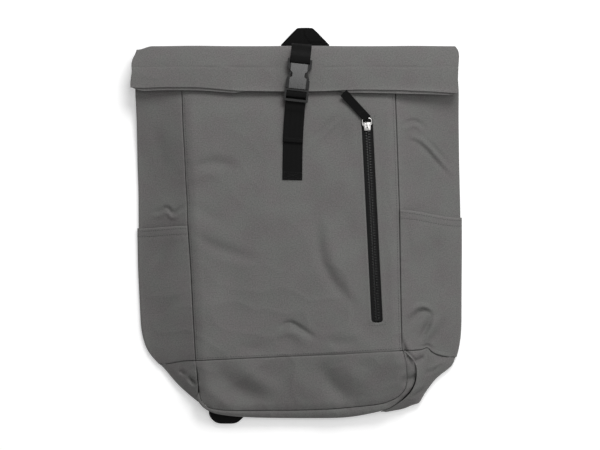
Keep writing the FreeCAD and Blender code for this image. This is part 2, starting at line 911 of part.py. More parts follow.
def latch_arm(side):
    """An arm that runs through the mouth ring, bulges above it and curves back to its tip."""
    made = body(f"latch_arm_{side}")
    crown = "mouth_tall + arm_wide * 2"
    past_ring = "mouth_tall + mouth_side * (waist_low - mouth_tall) / waist_in + air"
    bulge = f"{ARM_SIDE} + arm_out"
    tip = f"{ARM_SIDE} - arm_in"
    right = [
        (f"{ARM_SIDE} - arm_root", "male_gap"),
        (ARM_SIDE, "male_gap"),
        (ARM_SIDE, past_ring),
        (bulge, past_ring),
        (f"{bulge} - arm_curve", crown),
        (f"{tip} + arm_curve", "arm_tall - arm_curve * 2"),
        (tip, "arm_tall"),
        (f"{tip} - arm_wide / 2", "arm_tall - arm_curve / 2"),
        (f"{tip} + arm_curve - arm_wide", "arm_tall - arm_curve * 3"),
        (f"{bulge} - arm_curve - arm_wide", crown),
        (f"{ARM_SIDE} - arm_root + arm_curve / 2", "mouth_tall - arm_curve"),
    ]
    points = right if side == "right" else mirrored(right)
    low = "(buckle_thick - arm_thick) / 2"
    pad(made, outline(made, "plan", "XY_Plane", points, low), "arm_thick")
    buckle_place(made)
    return made


def strap_loop():
    """The webbing that goes up through the male half, over its bar, and its free tail."""
    made = body("strap_loop")
    leg_low = "-air"
    leg_high = "-air + web_thick * 0.85"
    over = "male_high + air"
    over_high = f"{over} + web_thick"
    bar_low = "-cross_bar - middle_slot - middle_bar - air"
    tail_low = f"{leg_high} + air"
    points = [
        ("-lower_leg", leg_low),
        ("-cross_bar - air", leg_low),
        ("-cross_bar - air", over_high),
        (f"{bar_low} - web_thick", over_high),
        (f"{bar_low} - web_thick", f"{tail_low} + web_thick"),
        ("-lower_leg", f"{tail_low} + web_thick"),
        ("-lower_leg - tail_step", f"{leg_low} + web_thick"),
        ("-tail_long", f"{leg_low} + web_thick"),
        ("-tail_long", leg_low),
        ("-lower_leg - tail_step + air * 3", leg_low),
        ("-lower_leg - air * 3", tail_low),
        (bar_low, tail_low),
        (bar_low, over),
        ("-cross_bar - middle_slot + air", over),
        ("-cross_bar - middle_slot + air", leg_high),
        ("-lower_leg", leg_high),
    ]
    pad(made, outline(made, "side", "YZ_Plane", points), "web_wide", True)
    buckle_place(made)
    return made


def top_strap():
    """The webbing from the nose of the roll, over the flap, round the buckle's bar."""
    made = body("top_strap")
    slot = "female_long - female_bar - female_slot + air"
    bar_over = "buckle_thick - bar_inset + air"
    bar_under = "bar_inset - air"
    turned_in = "web_wide / 2 * tan(-buckle_turn * 1deg)"
    nose = f"(nose_y - buckle_y) / cos(buckle_turn * 1deg) + {turned_in} + air"
    nose_top = "nose_high - buckle_low"
    over = f"{bar_over} + web_thick"
    points = [
        (slot, f"{bar_under} - web_thick"),
        (slot, over),
        ("female_long + web_thick * 1.5", over),
        (f"{nose} - nose_round - web_thick * 1.5", f"{nose_top} + web_thick * 4"),
        (f"{nose} + web_thick", f"{nose_top} - nose_round + web_thick * 1.5"),
        (f"{nose} + web_thick", "hinge_high + air - buckle_low"),
        (nose, "hinge_high + air - buckle_low"),
        (nose, f"{nose_top} - nose_round + web_thick * 0.7"),
        (f"{nose} - nose_round - web_thick * 2.3", f"{nose_top} + web_thick * 2.6"),
        ("female_long + web_thick * 2.8", f"{bar_under} - web_thick"),
    ]
    pad(made, outline(made, "side", "YZ_Plane", points), "web_wide", True)
    eye = [
        (f"{slot} + web_thick", bar_under),
        (f"{slot} + web_thick", bar_over),
        ("female_long + web_thick", bar_over),
        ("female_long + web_thick * 2", bar_under),
    ]
    cut = pocket(made, outline(made, "eye", "YZ_Plane", eye), "web_wide")
    cut.Midplane = True
    doc.recompute()
    buckle_place(made)
    return made


def top_strap_root():
    """The top strap's end, sewn under the back panel and turned up the nose."""
    made = body("top_strap_root")
    low = "back_low - air - web_thick"
    inner = "nose_y + air * 3"
    outer = f"{inner} + web_thick"
    top = "hinge_high - hinge_gap"
    points = [
        ("strap_root_y", low),
        (f"{outer} - web_thick", low),
        (outer, f"{low} + web_thick"),
        (outer, top),
        (inner, top),
        (inner, f"{low} + web_thick * 1.4"),
        (f"{inner} - web_thick * 0.4", f"{low} + web_thick"),
        ("strap_root_y", f"{low} + web_thick"),
    ]
    pad(made, outline(made, "side", "YZ_Plane", points), "web_wide", True)
    x = "buckle_x - (nose_y - buckle_y) * tan(buckle_turn * 1deg)"
    place(made, x, "0", "0")
    return made


def front_strap():
    """The strap sewn to the front panel, and the stitched block at its end."""
    made = body("front_strap")
    plan = box("-web_wide / 2", "web_wide / 2", "0", "strap_long")
    pad(made, outline(made, "plan", "XY_Plane", plan), "web_thick")
    place(made, "strap_x", "strap_y", "front_high + air / 3", "strap_turn")
    tack = body("strap_bartack")
    plan = box("-web_wide / 2 + tack_inset", "web_wide / 2 - tack_inset", "tack_inset", "tack_long")
    pad(tack, outline(tack, "plan", "XY_Plane", plan, "web_thick"), "tack_high")
    place(tack, "strap_x", "strap_y", "front_high + air / 3", "strap_turn")


buckle_female()
buckle_male()
latch_arm("left")
latch_arm("right")
strap_loop()
top_strap()
top_strap_root()
front_strap()


# ---------------------------------------------------------------- haul loop


def haul_loop():
    """The part of the loop past the top edge, and its legs under the pack."""
    made = body("haul_loop")
    start = "loop_hinge_y + loop_gap"
    plan = [
        ("loop_left", start),
        ("loop_right", start),
        ("loop_top_right", "loop_top_y"),
        ("loop_top_left", "loop_top_y"),
    ]
    pad(made, outline(made, "plan", "XY_Plane", plan, "loop_low"), "web_thick")
    legs = body("haul_loop_legs")
    end = "loop_hinge_y - loop_gap"
    plan = box("loop_left", "loop_right", "loop_root_y", end)
    pad(legs, outline(legs, "plan", "XY_Plane", plan, "loop_low"), "web_thick")
    middle = "(loop_left + loop_right) / 2"
    hole = [
        ("loop_left + loop_leg", "loop_hole_low"),
        ("loop_right - loop_leg", "loop_hole_low"),
        (f"{middle} + loop_hole_half", "loop_hole_high"),
        (f"{middle} - loop_hole_half", "loop_hole_high"),
    ]
    pocket(legs, outline(legs, "hole", "XY_Plane", hole, "loop_low"), "web_thick")


haul_loop()


# ---------------------------------------------------------------- shoulder straps


def padded_strap(side):
    """A padded strap from the back's top to its end above the lock."""
    made = body(f"shoulder_strap_{side}")
    top, end = f"pad_{side}_top", f"pad_{side}_end"
    plan = [
        (f"{end} - pad_end_half", "pad_end_y"),
        (f"{end} + pad_end_half", "pad_end_y"),
        (f"{top} + pad_top_half", "pad_top_y"),
        (f"{top} - pad_top_half", "pad_top_y"),
    ]
    pad(made, outline(made, "plan", "XY_Plane", plan), "pad_thick")
    return made


def lock_place(owner, side):
    """Puts a piece that is drawn about a lock's top edge under the end of its strap."""
    place(owner, f"pad_{side}_end", "lock_y", "0")


def ladder_lock(side):
    """A frame with three bars: keeper, middle and end."""
    made = body(f"ladder_lock_{side}")
    inner = "web_wide / 2 + lock_air"
    half = f"{inner} + lock_rail"
    whole = box(f"-({half})", half, "-lock_long", "0")
    tall = "lock_high - lock_low"
    pad(made, outline(made, "plan", "XY_Plane", whole, "lock_low"), tall)
    first = "-lock_end_bar"
    second = f"{first} - lock_slot - lock_middle_bar"
    slots = (
        box(f"-({inner})", inner, f"{first} - lock_slot", first),
        box(f"-({inner})", inner, f"{second} - lock_second_slot", second),
    )
    for name, points in zip(("slot_upper", "slot_lower"), slots):
        pocket(made, outline(made, name, "XY_Plane", points, "lock_low"), tall)
    bars = box(f"-({inner})", inner, "-lock_long - over_cut", "over_cut")
    pocket(made, outline(made, "under", "XY_Plane", bars, "lock_low"), "lock_bar_inset")
    over = outline(made, "over", "XY_Plane", bars, "lock_high - lock_bar_inset")
    pocket(made, over, "lock_bar_inset")
    lock_place(made, side)
    return made


def lock_webbing(side):
    """The webbing through a lock with its tail, and the keeper that ties the lock on."""
    tail = body(f"strap_tail_{side}")
    low = "lock_low - air / 2"
    low_high = f"{low} + lower_web"
    high = "lock_high + air / 3"
    high_low = f"{high} - lower_web"
    slot = "-lock_end_bar - lock_slot"
    near = f"{slot} + air + lower_web"
    points = [
        ("-lower_wrap", high),
        (near, high),
        (near, low),
        ("-lower_tail", low),
        ("-lower_tail", low_high),
        (f"{slot} + air", low_high),
        (f"{slot} + air", high_low),
        ("-lower_wrap", high_low),
    ]
    pad(tail, outline(tail, "side", "YZ_Plane", points), "web_wide", True)
    lock_place(tail, side)
    keeper = body(f"lock_keeper_{side}")
    inner = "-lock_end_bar - air"
    points = [
        (f"{inner} - lower_web", low),
        (f"{inner} - lower_web", high),
        ("keeper_long", f"{high} - lower_web"),
        ("keeper_long", f"{low} + lower_web"),
    ]
    pad(keeper, outline(keeper, "side", "YZ_Plane", points), "web_wide", True)
    eye = box(inner, "air * 3", low_high, high_low)
    cut = pocket(keeper, outline(keeper, "eye", "YZ_Plane", eye), "web_wide")
    cut.Midplane = True
    doc.recompute()
    lock_place(keeper, side)


def lower_webbing(side):
    """The webbing from the anchor tab up to the lock, and the tab itself."""
    made = body(f"strap_webbing_{side}")
    middle = f"pad_{side}_end"
    plan = box(f"{middle} - web_wide / 2", f"{middle} + web_wide / 2", "tab_y", "web_top_y")
    low = "web_high - web_thick"
    pad(made, outline(made, "plan", "XY_Plane", plan, low), "web_thick")
    tab = body(f"anchor_tab_{side}")
    end = f"tab_{side}_end"
    plan = [
        (f"{middle} - tab_half", "tab_y"),
        (f"{middle} - tab_half", f"{end} + tab_round"),
        (f"{middle} - tab_half + tab_round * 0.7", end),
        (f"{middle} + tab_half - tab_round * 0.8", end),
        (f"{middle} + tab_half", f"{end} + tab_round"),
        (f"{middle} + tab_half", "tab_y"),
    ]
    pad(tab, outline(tab, "plan", "XY_Plane", plan, low), "web_thick")


for side in ("left", "right"):
    padded_strap(side)
    ladder_lock(side)
    lock_webbing(side)
    lower_webbing(side)


# ---------------------------------------------------------------- checks and files

doc.recompute()
failed = [o.Name for o in doc.Objects if {"Invalid", "Error"} & set(o.State)]
if failed:
    raise ValueError(f"failed: {failed}")

os.makedirs("parts", exist_ok=True)
for made in parts:
    shape = slotted.Shape if made is front_panel else made.Shape
    if shape.isNull() or not shape.isValid():
        raise ValueError(f"{made.Label} has no valid shape")
    shape.exportStep(f"parts/{made.Label}.step")
    size = shape.BoundBox
    print(f"{made.Label:22s} {len(shape.Solids)} {shape.Volume:10.1f}", end=" ")
    print(f"x {size.XMin:7.1f} {size.XMax:7.1f}  y {size.YMin:7.1f} {size.YMax:7.1f}", end=" ")
    print(f"z {size.ZMin:5.1f} {size.ZMax:5.1f}")
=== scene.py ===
"""The looks of a roll-top daypack that lies on its back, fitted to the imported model."""

import math

import bmesh
import bpy
import numpy as np
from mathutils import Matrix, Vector, noise


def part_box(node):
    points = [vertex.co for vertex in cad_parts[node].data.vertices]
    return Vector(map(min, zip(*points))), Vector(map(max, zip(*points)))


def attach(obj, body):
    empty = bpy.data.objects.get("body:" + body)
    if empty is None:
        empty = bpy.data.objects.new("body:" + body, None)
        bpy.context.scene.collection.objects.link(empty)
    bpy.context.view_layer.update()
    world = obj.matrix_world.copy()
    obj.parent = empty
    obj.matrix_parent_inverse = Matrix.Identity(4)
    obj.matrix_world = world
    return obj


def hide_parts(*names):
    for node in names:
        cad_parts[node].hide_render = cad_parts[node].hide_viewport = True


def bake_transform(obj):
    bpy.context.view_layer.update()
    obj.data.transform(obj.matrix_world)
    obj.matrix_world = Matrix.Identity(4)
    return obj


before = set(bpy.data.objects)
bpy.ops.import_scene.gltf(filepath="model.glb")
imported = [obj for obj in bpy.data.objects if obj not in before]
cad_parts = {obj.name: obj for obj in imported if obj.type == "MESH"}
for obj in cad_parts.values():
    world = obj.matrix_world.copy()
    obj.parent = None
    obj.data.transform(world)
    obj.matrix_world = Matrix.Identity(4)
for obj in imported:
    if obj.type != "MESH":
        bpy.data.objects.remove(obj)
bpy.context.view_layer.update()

# ---------------------------------------------------------------- places, in millimetres

EYE = (5.0, 1.9, 3030.0)
DRAWN_FROM = 3000
MM_PER_PX = 1.25
PHOTO_MIDDLE = (300, 225)
SIDES = {"left": -1, "right": 1}


def seen(u, v, high):
    """The place, at a height, that shows at a point of the photograph."""
    share = (EYE[2] - high) / DRAWN_FROM * MM_PER_PX
    return EYE[0] + (u - PHOTO_MIDDLE[0]) * share, EYE[1] - (v - PHOTO_MIDDLE[1]) * share


def line(points, high):
    """Points of the photograph as places, at one height or at one for each."""
    highs = high if hasattr(high, "__len__") else [high] * len(points)
    return np.array([seen(u, v, h) for (u, v), h in zip(points, highs)])


def rounded(points, passes=2):
    """A line with its corners cut off, keeping its ends."""
    path = np.array(points, float)
    for _ in range(passes):
        a, b = path[:-1], path[1:]
        inner = np.stack([a * 0.75 + b * 0.25, a * 0.25 + b * 0.75], 1).reshape(-1, path.shape[1])
        path = np.vstack([path[:1], inner, path[-1:]])
    return path


def closed_round(points, passes):
    """A closed outline with its corners cut off."""
    return rounded(list(points) + [points[0]], passes)[:-1]


def reach(path):
    """The length of a line up to each of its points."""
    return np.concatenate([[0], np.cumsum(np.linalg.norm(np.diff(path, axis=0), axis=1))])


def at_shares(points, shares):
    """The places at shares of a line's length."""
    path = rounded(points)
    run = reach(path)
    return np.stack([np.interp(shares, run / run[-1], path[:, k]) for k in range(path.shape[1])], 1)


def rule(pairs, soft=5):
    """A smooth rule from (place, value) pairs."""
    pairs = sorted((float(a), float(b)) for a, b in pairs)
    fine = np.arange(pairs[0][0], pairs[-1][0] + 1, 1.0)
    raw = np.interp(fine, *zip(*pairs))
    kernel = np.exp(-0.5 * (np.arange(-3 * soft, 3 * soft + 1) / soft) ** 2)
    even = np.convolve(np.pad(raw, 3 * soft, "edge"), kernel / kernel.sum(), "valid")
    return lambda at: np.interp(at, fine, even)


def side_rule(points, high, soft=5):
    """A side of the pack: its x at each y."""
    return rule([(y, x) for x, y in line(points, high)], soft)


def ease(value, low, high):
    """0 below low, 1 above high and smooth between."""
    share = np.clip((value - low) / (high - low), 0, 1)
    return share * share * (3 - 2 * share)


def off(x, y, path):
    """How far places are from a line, and where along it, from 0 to 1."""
    path = np.asarray(path, float)
    steps = np.linalg.norm(np.diff(path, axis=0), axis=1)
    whole, best, where, gone = steps.sum(), np.full(np.shape(x), 1e9), np.zeros(np.shape(x)), 0.0
    for (ax, ay), (bx, by), long in zip(path[:-1], path[1:], steps):
        share = np.clip(((x - ax) * (bx - ax) + (y - ay) * (by - ay)) / long**2, 0, 1)
        away = np.hypot(x - ax - share * (bx - ax), y - ay - share * (by - ay))
        where = np.where(away < best, (gone + share * long) / whole, where)
        best, gone = np.minimum(best, away), gone + long
    return best, where


def nearest(x, y, *paths):
    """How far places are from the nearest of some lines."""
    return np.minimum.reduce([off(x, y, path)[0] for path in paths])


BACK_LOW = 8.6
BACK_FOOT = -229.0
FOLD_ROUND = 2.0
FALL_WIDE = 13.0
TOP_Y = 216.0
FAR = 99.0
fold = {
    "left": side_rule([(138, 54), (137, 70), (136, 92), (137, 120), (137.5, 164), (138.5, 190), (138.8, 230),
                       (139.3, 266), (140.6, 296), (142, 326), (144, 338), (148, 350), (152.5, 356),
                       (158.5, 362.5), (164, 368), (170, 374)], 5),
    "right": side_rule([(455, 54), (456.5, 70), (458, 92), (458.3, 120), (459, 150), (459.6, 180),
                        (460.4, 212), (460.6, 250), (460.4, 296), (460.4, 326), (459.6, 338), (457.6, 350),
                        (455.6, 357), (453, 364), (446, 370)], 5),
}
seam = {
    "left": side_rule([(180, 50), (181.4, 91), (182.6, 123), (184.3, 152), (185.4, 180), (186.8, 200),
                       (187.5, 225), (190.5, 270), (193.4, 325), (195.3, 360), (197, 373)], 36),
    "right": side_rule([(394, 50), (395.5, 95), (398, 163), (399.6, 209), (400.4, 262), (401.3, 312),
                        (402, 341), (402.5, 350), (403.5, 360)], 36),
}
back_seam = {
    "left": rule([(225, -134), (-229, -112)]),
    "right": rule([(225, 128), (-229, 114)]),
}
front_high = rule([(235, 22), (216, 25), (200, 30.5), (171, 33.0), (161, 35.0), (148, 41.4), (-160, 42),
                   (-229, 26), (-245, 22)], 7)
seam_drop = rule([(235, 1), (216, 1), (171, 2), (146, 6), (-250, 6)])
fold_high = rule([(216, 18), (171, 23), (146, 14), (90, 5.4), (-165, 4.5), (-229, 10.6)], 8)
BAND_LEFT = line([(195.3, 360.6)], 36)[0]
BAND_RIGHT = line([(403.0, 350.4)], 36)[0]
BAND_END = {"left": BAND_LEFT, "right": BAND_RIGHT}
FOLD_END = {"left": line([(158.5, 364)], 6)[0], "right": line([(456, 357)], 6)[0]}

# The folds that the empty cloth shows: points of the photograph, then half width and height in mm.
FOLDS = [
    ([(402, 127), (409, 121), (418, 121), (426, 129)], 2.0, -1.8),
    ([(403, 131), (411, 125), (418, 126), (424, 133)], 2.2, 1.3),
    ([(407, 140), (420, 143), (440, 165), (452, 178)], 2.0, -2.2),
    ([(413, 136), (425, 141), (445, 163), (456, 176)], 2.4, 1.9),
    ([(424, 137), (434, 146), (452, 168)], 1.8, -1.8),
    ([(407, 318), (414, 308), (424, 305), (433, 311)], 2.4, 2.8),
    ([(411, 322), (418, 312), (426, 310), (433, 316)], 2.0, -3.0),
    ([(432, 313), (430, 322), (420, 340)], 2.4, -3.6),
    ([(438, 316), (433, 328), (424, 342)], 2.6, 2.6),
    ([(446, 318), (440, 332), (431, 345)], 2.4, -2.8),
    ([(402, 338), (403.5, 346), (407, 356), (413.8, 369)], 2.0, -4.4),
    ([(406, 340), (411, 352), (417, 358)], 3.0, 1.6),
    ([(411, 358), (418, 356.5), (424, 355)], 2.2, 1.6),
    ([(414, 363), (419, 362), (426, 360.5)], 1.7, -4.2),
    ([(430, 350), (430, 356), (429, 361)], 2.2, -3.0),
    ([(433, 352), (442, 355.5), (452, 357)], 1.5, 1.6),
    ([(421, 348), (428, 345), (434, 349)], 1.3, -2.2),
    ([(447.6, 359), (440, 366.5), (425, 376)], 2.4, 2.4),
    ([(444, 364), (434, 371.5), (424, 376.5)], 1.8, -3.0),
    ([(425.8, 388), (418.7, 393), (408, 398)], 2.0, -3.0),
    ([(427, 384), (418, 389), (408, 394)], 2.6, 1.6),
    ([(407, 222), (409, 245), (410, 272)], 3.0, -1.4),
    ([(430, 225), (436, 250), (431, 290)], 6.0, -1.6),
    ([(446, 200), (450, 240), (446, 290)], 6.0, 1.4),
    ([(150, 213), (160, 211), (167, 206), (172, 214), (179, 209), (185, 206)], 1.7, -2.6),
    ([(150, 217), (160, 216), (167, 211), (172, 219), (180, 213), (186, 211)], 2.2, 1.8),
    ([(176, 238), (163, 250), (149, 268)], 4.0, -2.2),
    ([(184, 246), (168, 262), (156, 282)], 4.0, 1.4),
    ([(178, 296), (164, 310), (152, 322)], 4.0, -1.6),
    ([(146, 122), (158, 140), (166, 172)], 6.0, -1.4),
    ([(178, 371.5), (186, 375.5)], 2.0, -3.0),
    ([(187.5, 377), (193, 380.5), (195.8, 386)], 2.2, -4.6),
    ([(184, 381), (189, 385), (193, 390)], 2.4, 1.7),
    ([(162, 371), (172, 371), (180, 369)], 3.4, 1.3),
    ([(187, 174), (200, 165), (218, 162), (238, 168)], 4.0, -2.4),
    ([(190, 182), (206, 174), (224, 173)], 5.0, 1.5),
    ([(188, 205), (205, 213), (226, 223)], 5.0, -1.2),
    ([(191, 232), (206, 243), (226, 251), (262, 262)], 4.5, -2.0),
    ([(200, 228), (224, 240), (250, 248)], 7.0, 1.2),
    ([(317, 218), (318, 245), (325, 270), (340, 292), (360, 309)], 4.5, -3.4),
    ([(328, 215), (330, 250), (340, 276), (356, 296)], 6.0, 2.0),
    ([(306, 148), (320, 132), (336, 116)], 2.2, -1.3),
    ([(312, 150), (326, 133), (341, 118)], 2.2, 1.1),
    ([(279, 330), (289, 321), (300, 328), (316, 338)], 2.8, -3.0),
    ([(276, 337), (288, 329), (299, 336), (310, 344)], 4.0, 2.4),
    ([(322, 340), (338, 343), (358, 340)], 4.0, -2.2),
    ([(236, 346), (256, 349), (276, 347)], 4.5, -1.8),
    ([(210, 258), (212, 300), (206, 340)], 10.0, 1.6),
    ([(238, 265), (236, 310), (228, 345)], 10.0, -2.0),
    ([(381, 190), (388, 205), (392, 222)], 2.2, -1.3),
    ([(381, 222), (388, 236), (393, 252)], 2.4, -1.2),
    ([(214, 366), (228, 384), (246, 395), (268, 401)], 7.6, -5.4),
    ([(238, 362), (256, 380), (282, 392)], 6.5, 3.8),
    ([(205, 384), (216, 398), (234, 405)], 4.0, 1.6),
    ([(318, 362), (328, 381), (342, 396), (360, 404)], 6.4, -5.0),
    ([(340, 362), (358, 380), (378, 388)], 7.0, 3.2),
    ([(292, 366), (302, 386), (316, 400)], 7.0, 1.8),
    ([(392, 398), (402, 388), (405, 374)], 3.4, -1.8),
]
# How many times as wide and as high as listed a narrow fold and a broad one are made.
NARROW_UNDER = 3
NARROW_GAIN, BROAD_GAIN = (1.25, 1.45), (1.7, 1.1)
FOLD_LINES = []
for points, wide, tall in FOLDS:
    gain = NARROW_GAIN if wide < NARROW_UNDER else BROAD_GAIN
    FOLD_LINES.append((rounded(line(points, 30)), wide * gain[0], tall * gain[1]))

ZIP_LEAN = 2.9
ZIP_TOP = np.array([88.25, 133.1])
ZIP_WAY = np.array([math.sin(math.radians(ZIP_LEAN)), -math.cos(math.radians(ZIP_LEAN))])
ZIP_ASIDE = np.array([-ZIP_WAY[1], ZIP_WAY[0]])
ZIP_LONG = 253.0
BUCKLE = np.array([1.25, 170.6, 44.2])
BUCKLE_TURN = math.radians(-6.2)
BUCKLE_COS, BUCKLE_SIN = math.cos(BUCKLE_TURN), math.sin(BUCKLE_TURN)
STRAP_TURN = math.radians(-2.9)


def swells(x, y, sizes):
    """Long soft swells: (wavelength, height) pairs, always the same."""
    dice = np.random.default_rng(11)
    total = np.zeros(np.shape(x))
    for long, tall in sizes:
        for _ in range(4):
            way, start = dice.uniform(0, math.tau, 2)
            run = x * math.cos(way) + y * math.sin(way)
            total += tall * 0.5 * np.sin(run * math.tau / long / dice.uniform(0.8, 1.25) + start)
    return total


def creased(x, y, long, seed):
    """Fine sharp creases, as an empty cloth keeps: 0 to 1."""
    flat = np.stack([np.ravel(x), np.ravel(y)], 1) / long
    made = [1 - abs(noise.noise((a, b, seed))) * 2.2 for a, b in flat]
    return np.clip(np.array(made).reshape(np.shape(x)), 0, 1) ** 4


def relief(x, y):
    """How far the cloth stands over its drawn height."""
    total = swells(x, y, [(190, 1.3), (95, 1.0), (52, 0.55)])
    for path, wide, tall in FOLD_LINES:
        away, where = off(x, y, path)
        fade = np.sin(math.pi * np.clip(where, 0.02, 0.98)) ** 0.8
        total += tall * fade * np.exp(-((away / wide) ** 2))
    total += (0.35 + 0.55 * ease(-y, 0, 120)) * creased(x, y, 44, 3.1)
    for side in SIDES:
        away = np.abs(x - seam[side](y))
        pucker = np.sin(y * math.tau / 11.0 + 2.2 * np.sin(y / 19.0))
        total += 0.35 * pucker * np.exp(-away / 6.0) * (0.4 + 0.6 * np.sin(y / 37.0) ** 2)
    calm = ease(nearest(x, y, [ZIP_TOP, ZIP_TOP + ZIP_WAY * ZIP_LONG]), 14, 34)
    strap = np.maximum(np.abs(x + 2) - 16, np.abs(y - 100) - 66)
    under = 1 - 0.9 * ease(y, 150, 168)
    return total * calm * under * (0.1 + 0.9 * ease(strap, 0, 26))


def in_from_seams(x, y):
    """How far in places are from the nearer side seam."""
    return np.minimum(x - seam["left"](y), seam["right"](y) - x)


def sewn_fall(away, wide):
    """How much of its fall the cloth has near a seam: 1 at the seam, 0 beyond a width."""
    return np.clip(1 - away / wide, 0, 1) ** 1.7


def front_top(x, y):
    """The height of the front cloth."""
    return front_high(y) - seam_drop(y) * sewn_fall(in_from_seams(x, y), FALL_WIDE) + relief(x, y)


# ---------------------------------------------------------------- meshes


def linked(name, data):
    """An object of a mesh, a lamp or a camera, in the scene."""
    made = bpy.data.objects.new(name, data)
    bpy.context.collection.objects.link(made)
    return made


def places_of(mesh):
    """A mesh's corners, in metres."""
    return np.array([corner.co[:] for corner in mesh.vertices])


def lay(mesh, places):
    """Gives each corner of a mesh its place on the flat cloth, in metres."""
    layer = mesh.uv_layers.get("Laid") or mesh.uv_layers.new(name="Laid")
    order = [loop.vertex_index for loop in mesh.loops]
    layer.data.foreach_set("uv", np.asarray(places, float)[order].ravel())


def smoothed(mesh):
    """Shades a whole mesh smooth."""
    for face in mesh.polygons:
        face.use_smooth = True


def piece(name, corners, faces, laid, wear=None):
    """An object from corners in mm. laid is each corner's place on the flat cloth, in mm."""
    mesh = bpy.data.meshes.new(name)
    mesh.from_pydata((np.asarray(corners) * 0.001).tolist(), [], [list(f) for f in faces])
    mesh.validate()
    smoothed(mesh)
    lay(mesh, np.asarray(laid) * 0.001)
    if wear is not None:
        mark = mesh.attributes.new("wear", "FLOAT", "POINT")
        mark.data.foreach_set("value", np.asarray(wear, dtype=np.float32).ravel())
    return linked(name, mesh)


def laid_flat(grid):
    """Where each point of a grid lies once the cloth is flat, in mm."""
    across = np.linalg.norm(np.diff(grid, axis=1), axis=2)
    down = np.linalg.norm(np.diff(grid, axis=0), axis=2)
    u = np.concatenate([np.zeros((grid.shape[0], 1)), np.cumsum(across, 1)], 1)
    v = np.concatenate([np.zeros((1, grid.shape[1])), np.cumsum(down, 0)], 0)
    middle = grid.shape[1] // 2
    u = u - u[:, middle : middle + 1] + grid[:1, middle : middle + 1, 0]
    return np.stack([u, -v.mean(1, keepdims=True) + 0 * u], 2)


def cloth(name, grid, thick=0.9, gone=None, wear=None):
    """A cloth through a grid of points, thickened on its inner side. Rows run so that the
    normal, across times down, points inwards; gone marks faces that are cut out."""
    rows, columns = grid.shape[:2]
    du = np.gradient(grid, axis=1)
    dv = np.gradient(grid, axis=0)
    normal = np.cross(du, dv)
    normal /= np.maximum(np.linalg.norm(normal, axis=2, keepdims=True), 1e-9)
    inner = grid + normal * thick
    top = np.arange(rows * columns).reshape(rows, columns)
    faces, edges = [], {}
    for r in range(rows - 1):
        for c in range(columns - 1):
            if gone is not None and gone[r, c]:
                continue
            a, b, d, e = top[r, c], top[r + 1, c], top[r + 1, c + 1], top[r, c + 1]
            faces.append((a, b, d, e))
            for pair in ((a, b), (b, d), (d, e), (e, a)):
                back = (pair[1], pair[0])
                if back in edges:
                    del edges[back]
                else:
                    edges[pair] = True
    more = rows * columns
    under = [tuple(i + more for i in reversed(face)) for face in faces]
    rim = [(b, a, a + more, b + more) for a, b in edges]
    used = sorted({i for face in faces for i in face})
    number = {}
    for k, i in enumerate(used):
        number[i], number[i + more] = k, k + len(used)
    shift = [tuple(int(number[i]) for i in face) for face in faces + under + rim]
    corners = np.concatenate([grid.reshape(-1, 3)[used], inner.reshape(-1, 3)[used]])
    laid = laid_flat(grid).reshape(-1, 2)[used]
    laid = np.concatenate([laid, laid])
    marks = None
    if wear is not None:
        marks = np.tile(np.broadcast_to(wear, (rows, columns)).ravel()[used], 2)
    return piece(name, corners, shift, laid, marks)


def shares(count, whole, near=True, far=True):
    """Shares from 0 to 1, close together at ends that are sewn; whole is the length in mm."""
    close = np.array([0, 0.25, 0.6, 1.05, 1.7, 2.8, 4.4]) / whole
    start = close if near else np.array([0.0])
    end = 1 - close[::-1] if far else np.array([1.0])
    middle = np.linspace(start[-1], end[0], count)[1:-1]
    return np.concatenate([start, middle, end])


def turned(away, deep=2.3, over=1.5):
    """How far a sewn edge is turned down, by the distance from it."""
    left = np.clip(1 - away / over, 0, 1)
    return deep * (1 - np.sqrt(np.clip(1 - left**2, 0, 1)))


def patch(left, right, top, bottom, across, down):
    """A grid in plan between four lines."""
    s, t = across[None, :, None], down[:, None, None]
    sides = left[:, None] * (1 - s) + right[:, None] * s
    ends = top[None] * (1 - t) + bottom[None] * t
    corners = (1 - s) * (1 - t) * top[0] + s * (1 - t) * top[-1]
    return sides + ends - corners - (1 - s) * t * bottom[0] - s * t * bottom[-1]


def joined(made, body, *nodes, slot=None, material=None):
    """Places a piece on its body for the nodes that it stands for."""
    if material:
        made.data.materials.clear()
        made.data.materials.append(material)
    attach(made, body)
    if nodes:
        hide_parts(*nodes)
    return made


def plain(made):
    """An object's evaluated shape as a plain mesh, with no modifiers left."""
    bpy.context.view_layer.update()
    ready = made.evaluated_get(bpy.context.evaluated_depsgraph_get())
    mesh = bpy.data.meshes.new_from_object(ready)
    made.modifiers.clear()
    made.data = mesh
    return made


def outward(made):
    """Turns all of a closed mesh's faces outwards."""
    work = bmesh.new()
    work.from_mesh(made.data)
    bmesh.ops.recalc_face_normals(work, faces=work.faces)
    work.to_mesh(made.data)
    work.free()


def tube(rings, around, closed=False):
    """The faces of a tube of rings, each of so many corners; a closed tube runs back into itself."""
    faces = []
    for k in range(rings if closed else rings - 1):
        near, far = k * around, (k + 1) % rings * around
        for j in range(around):
            on = (j + 1) % around
            faces.append((near + j, near + on, far + on, far + j))
    if not closed:
        faces.append(tuple(reversed(range(around))))
        faces.append(tuple(range((rings - 1) * around, rings * around)))
    return faces


WEB_TOP = [(-1, 0.0), (-0.985, 0.75), (-0.93, 1.0), (-0.85, 0.9), (-0.5, 0.94), (0, 0.94), (0.5, 0.94),
           (0.85, 0.9), (0.93, 1.0), (0.985, 0.75)]
WEB_RING = WEB_TOP + [(-a, -b) for a, b in WEB_TOP]


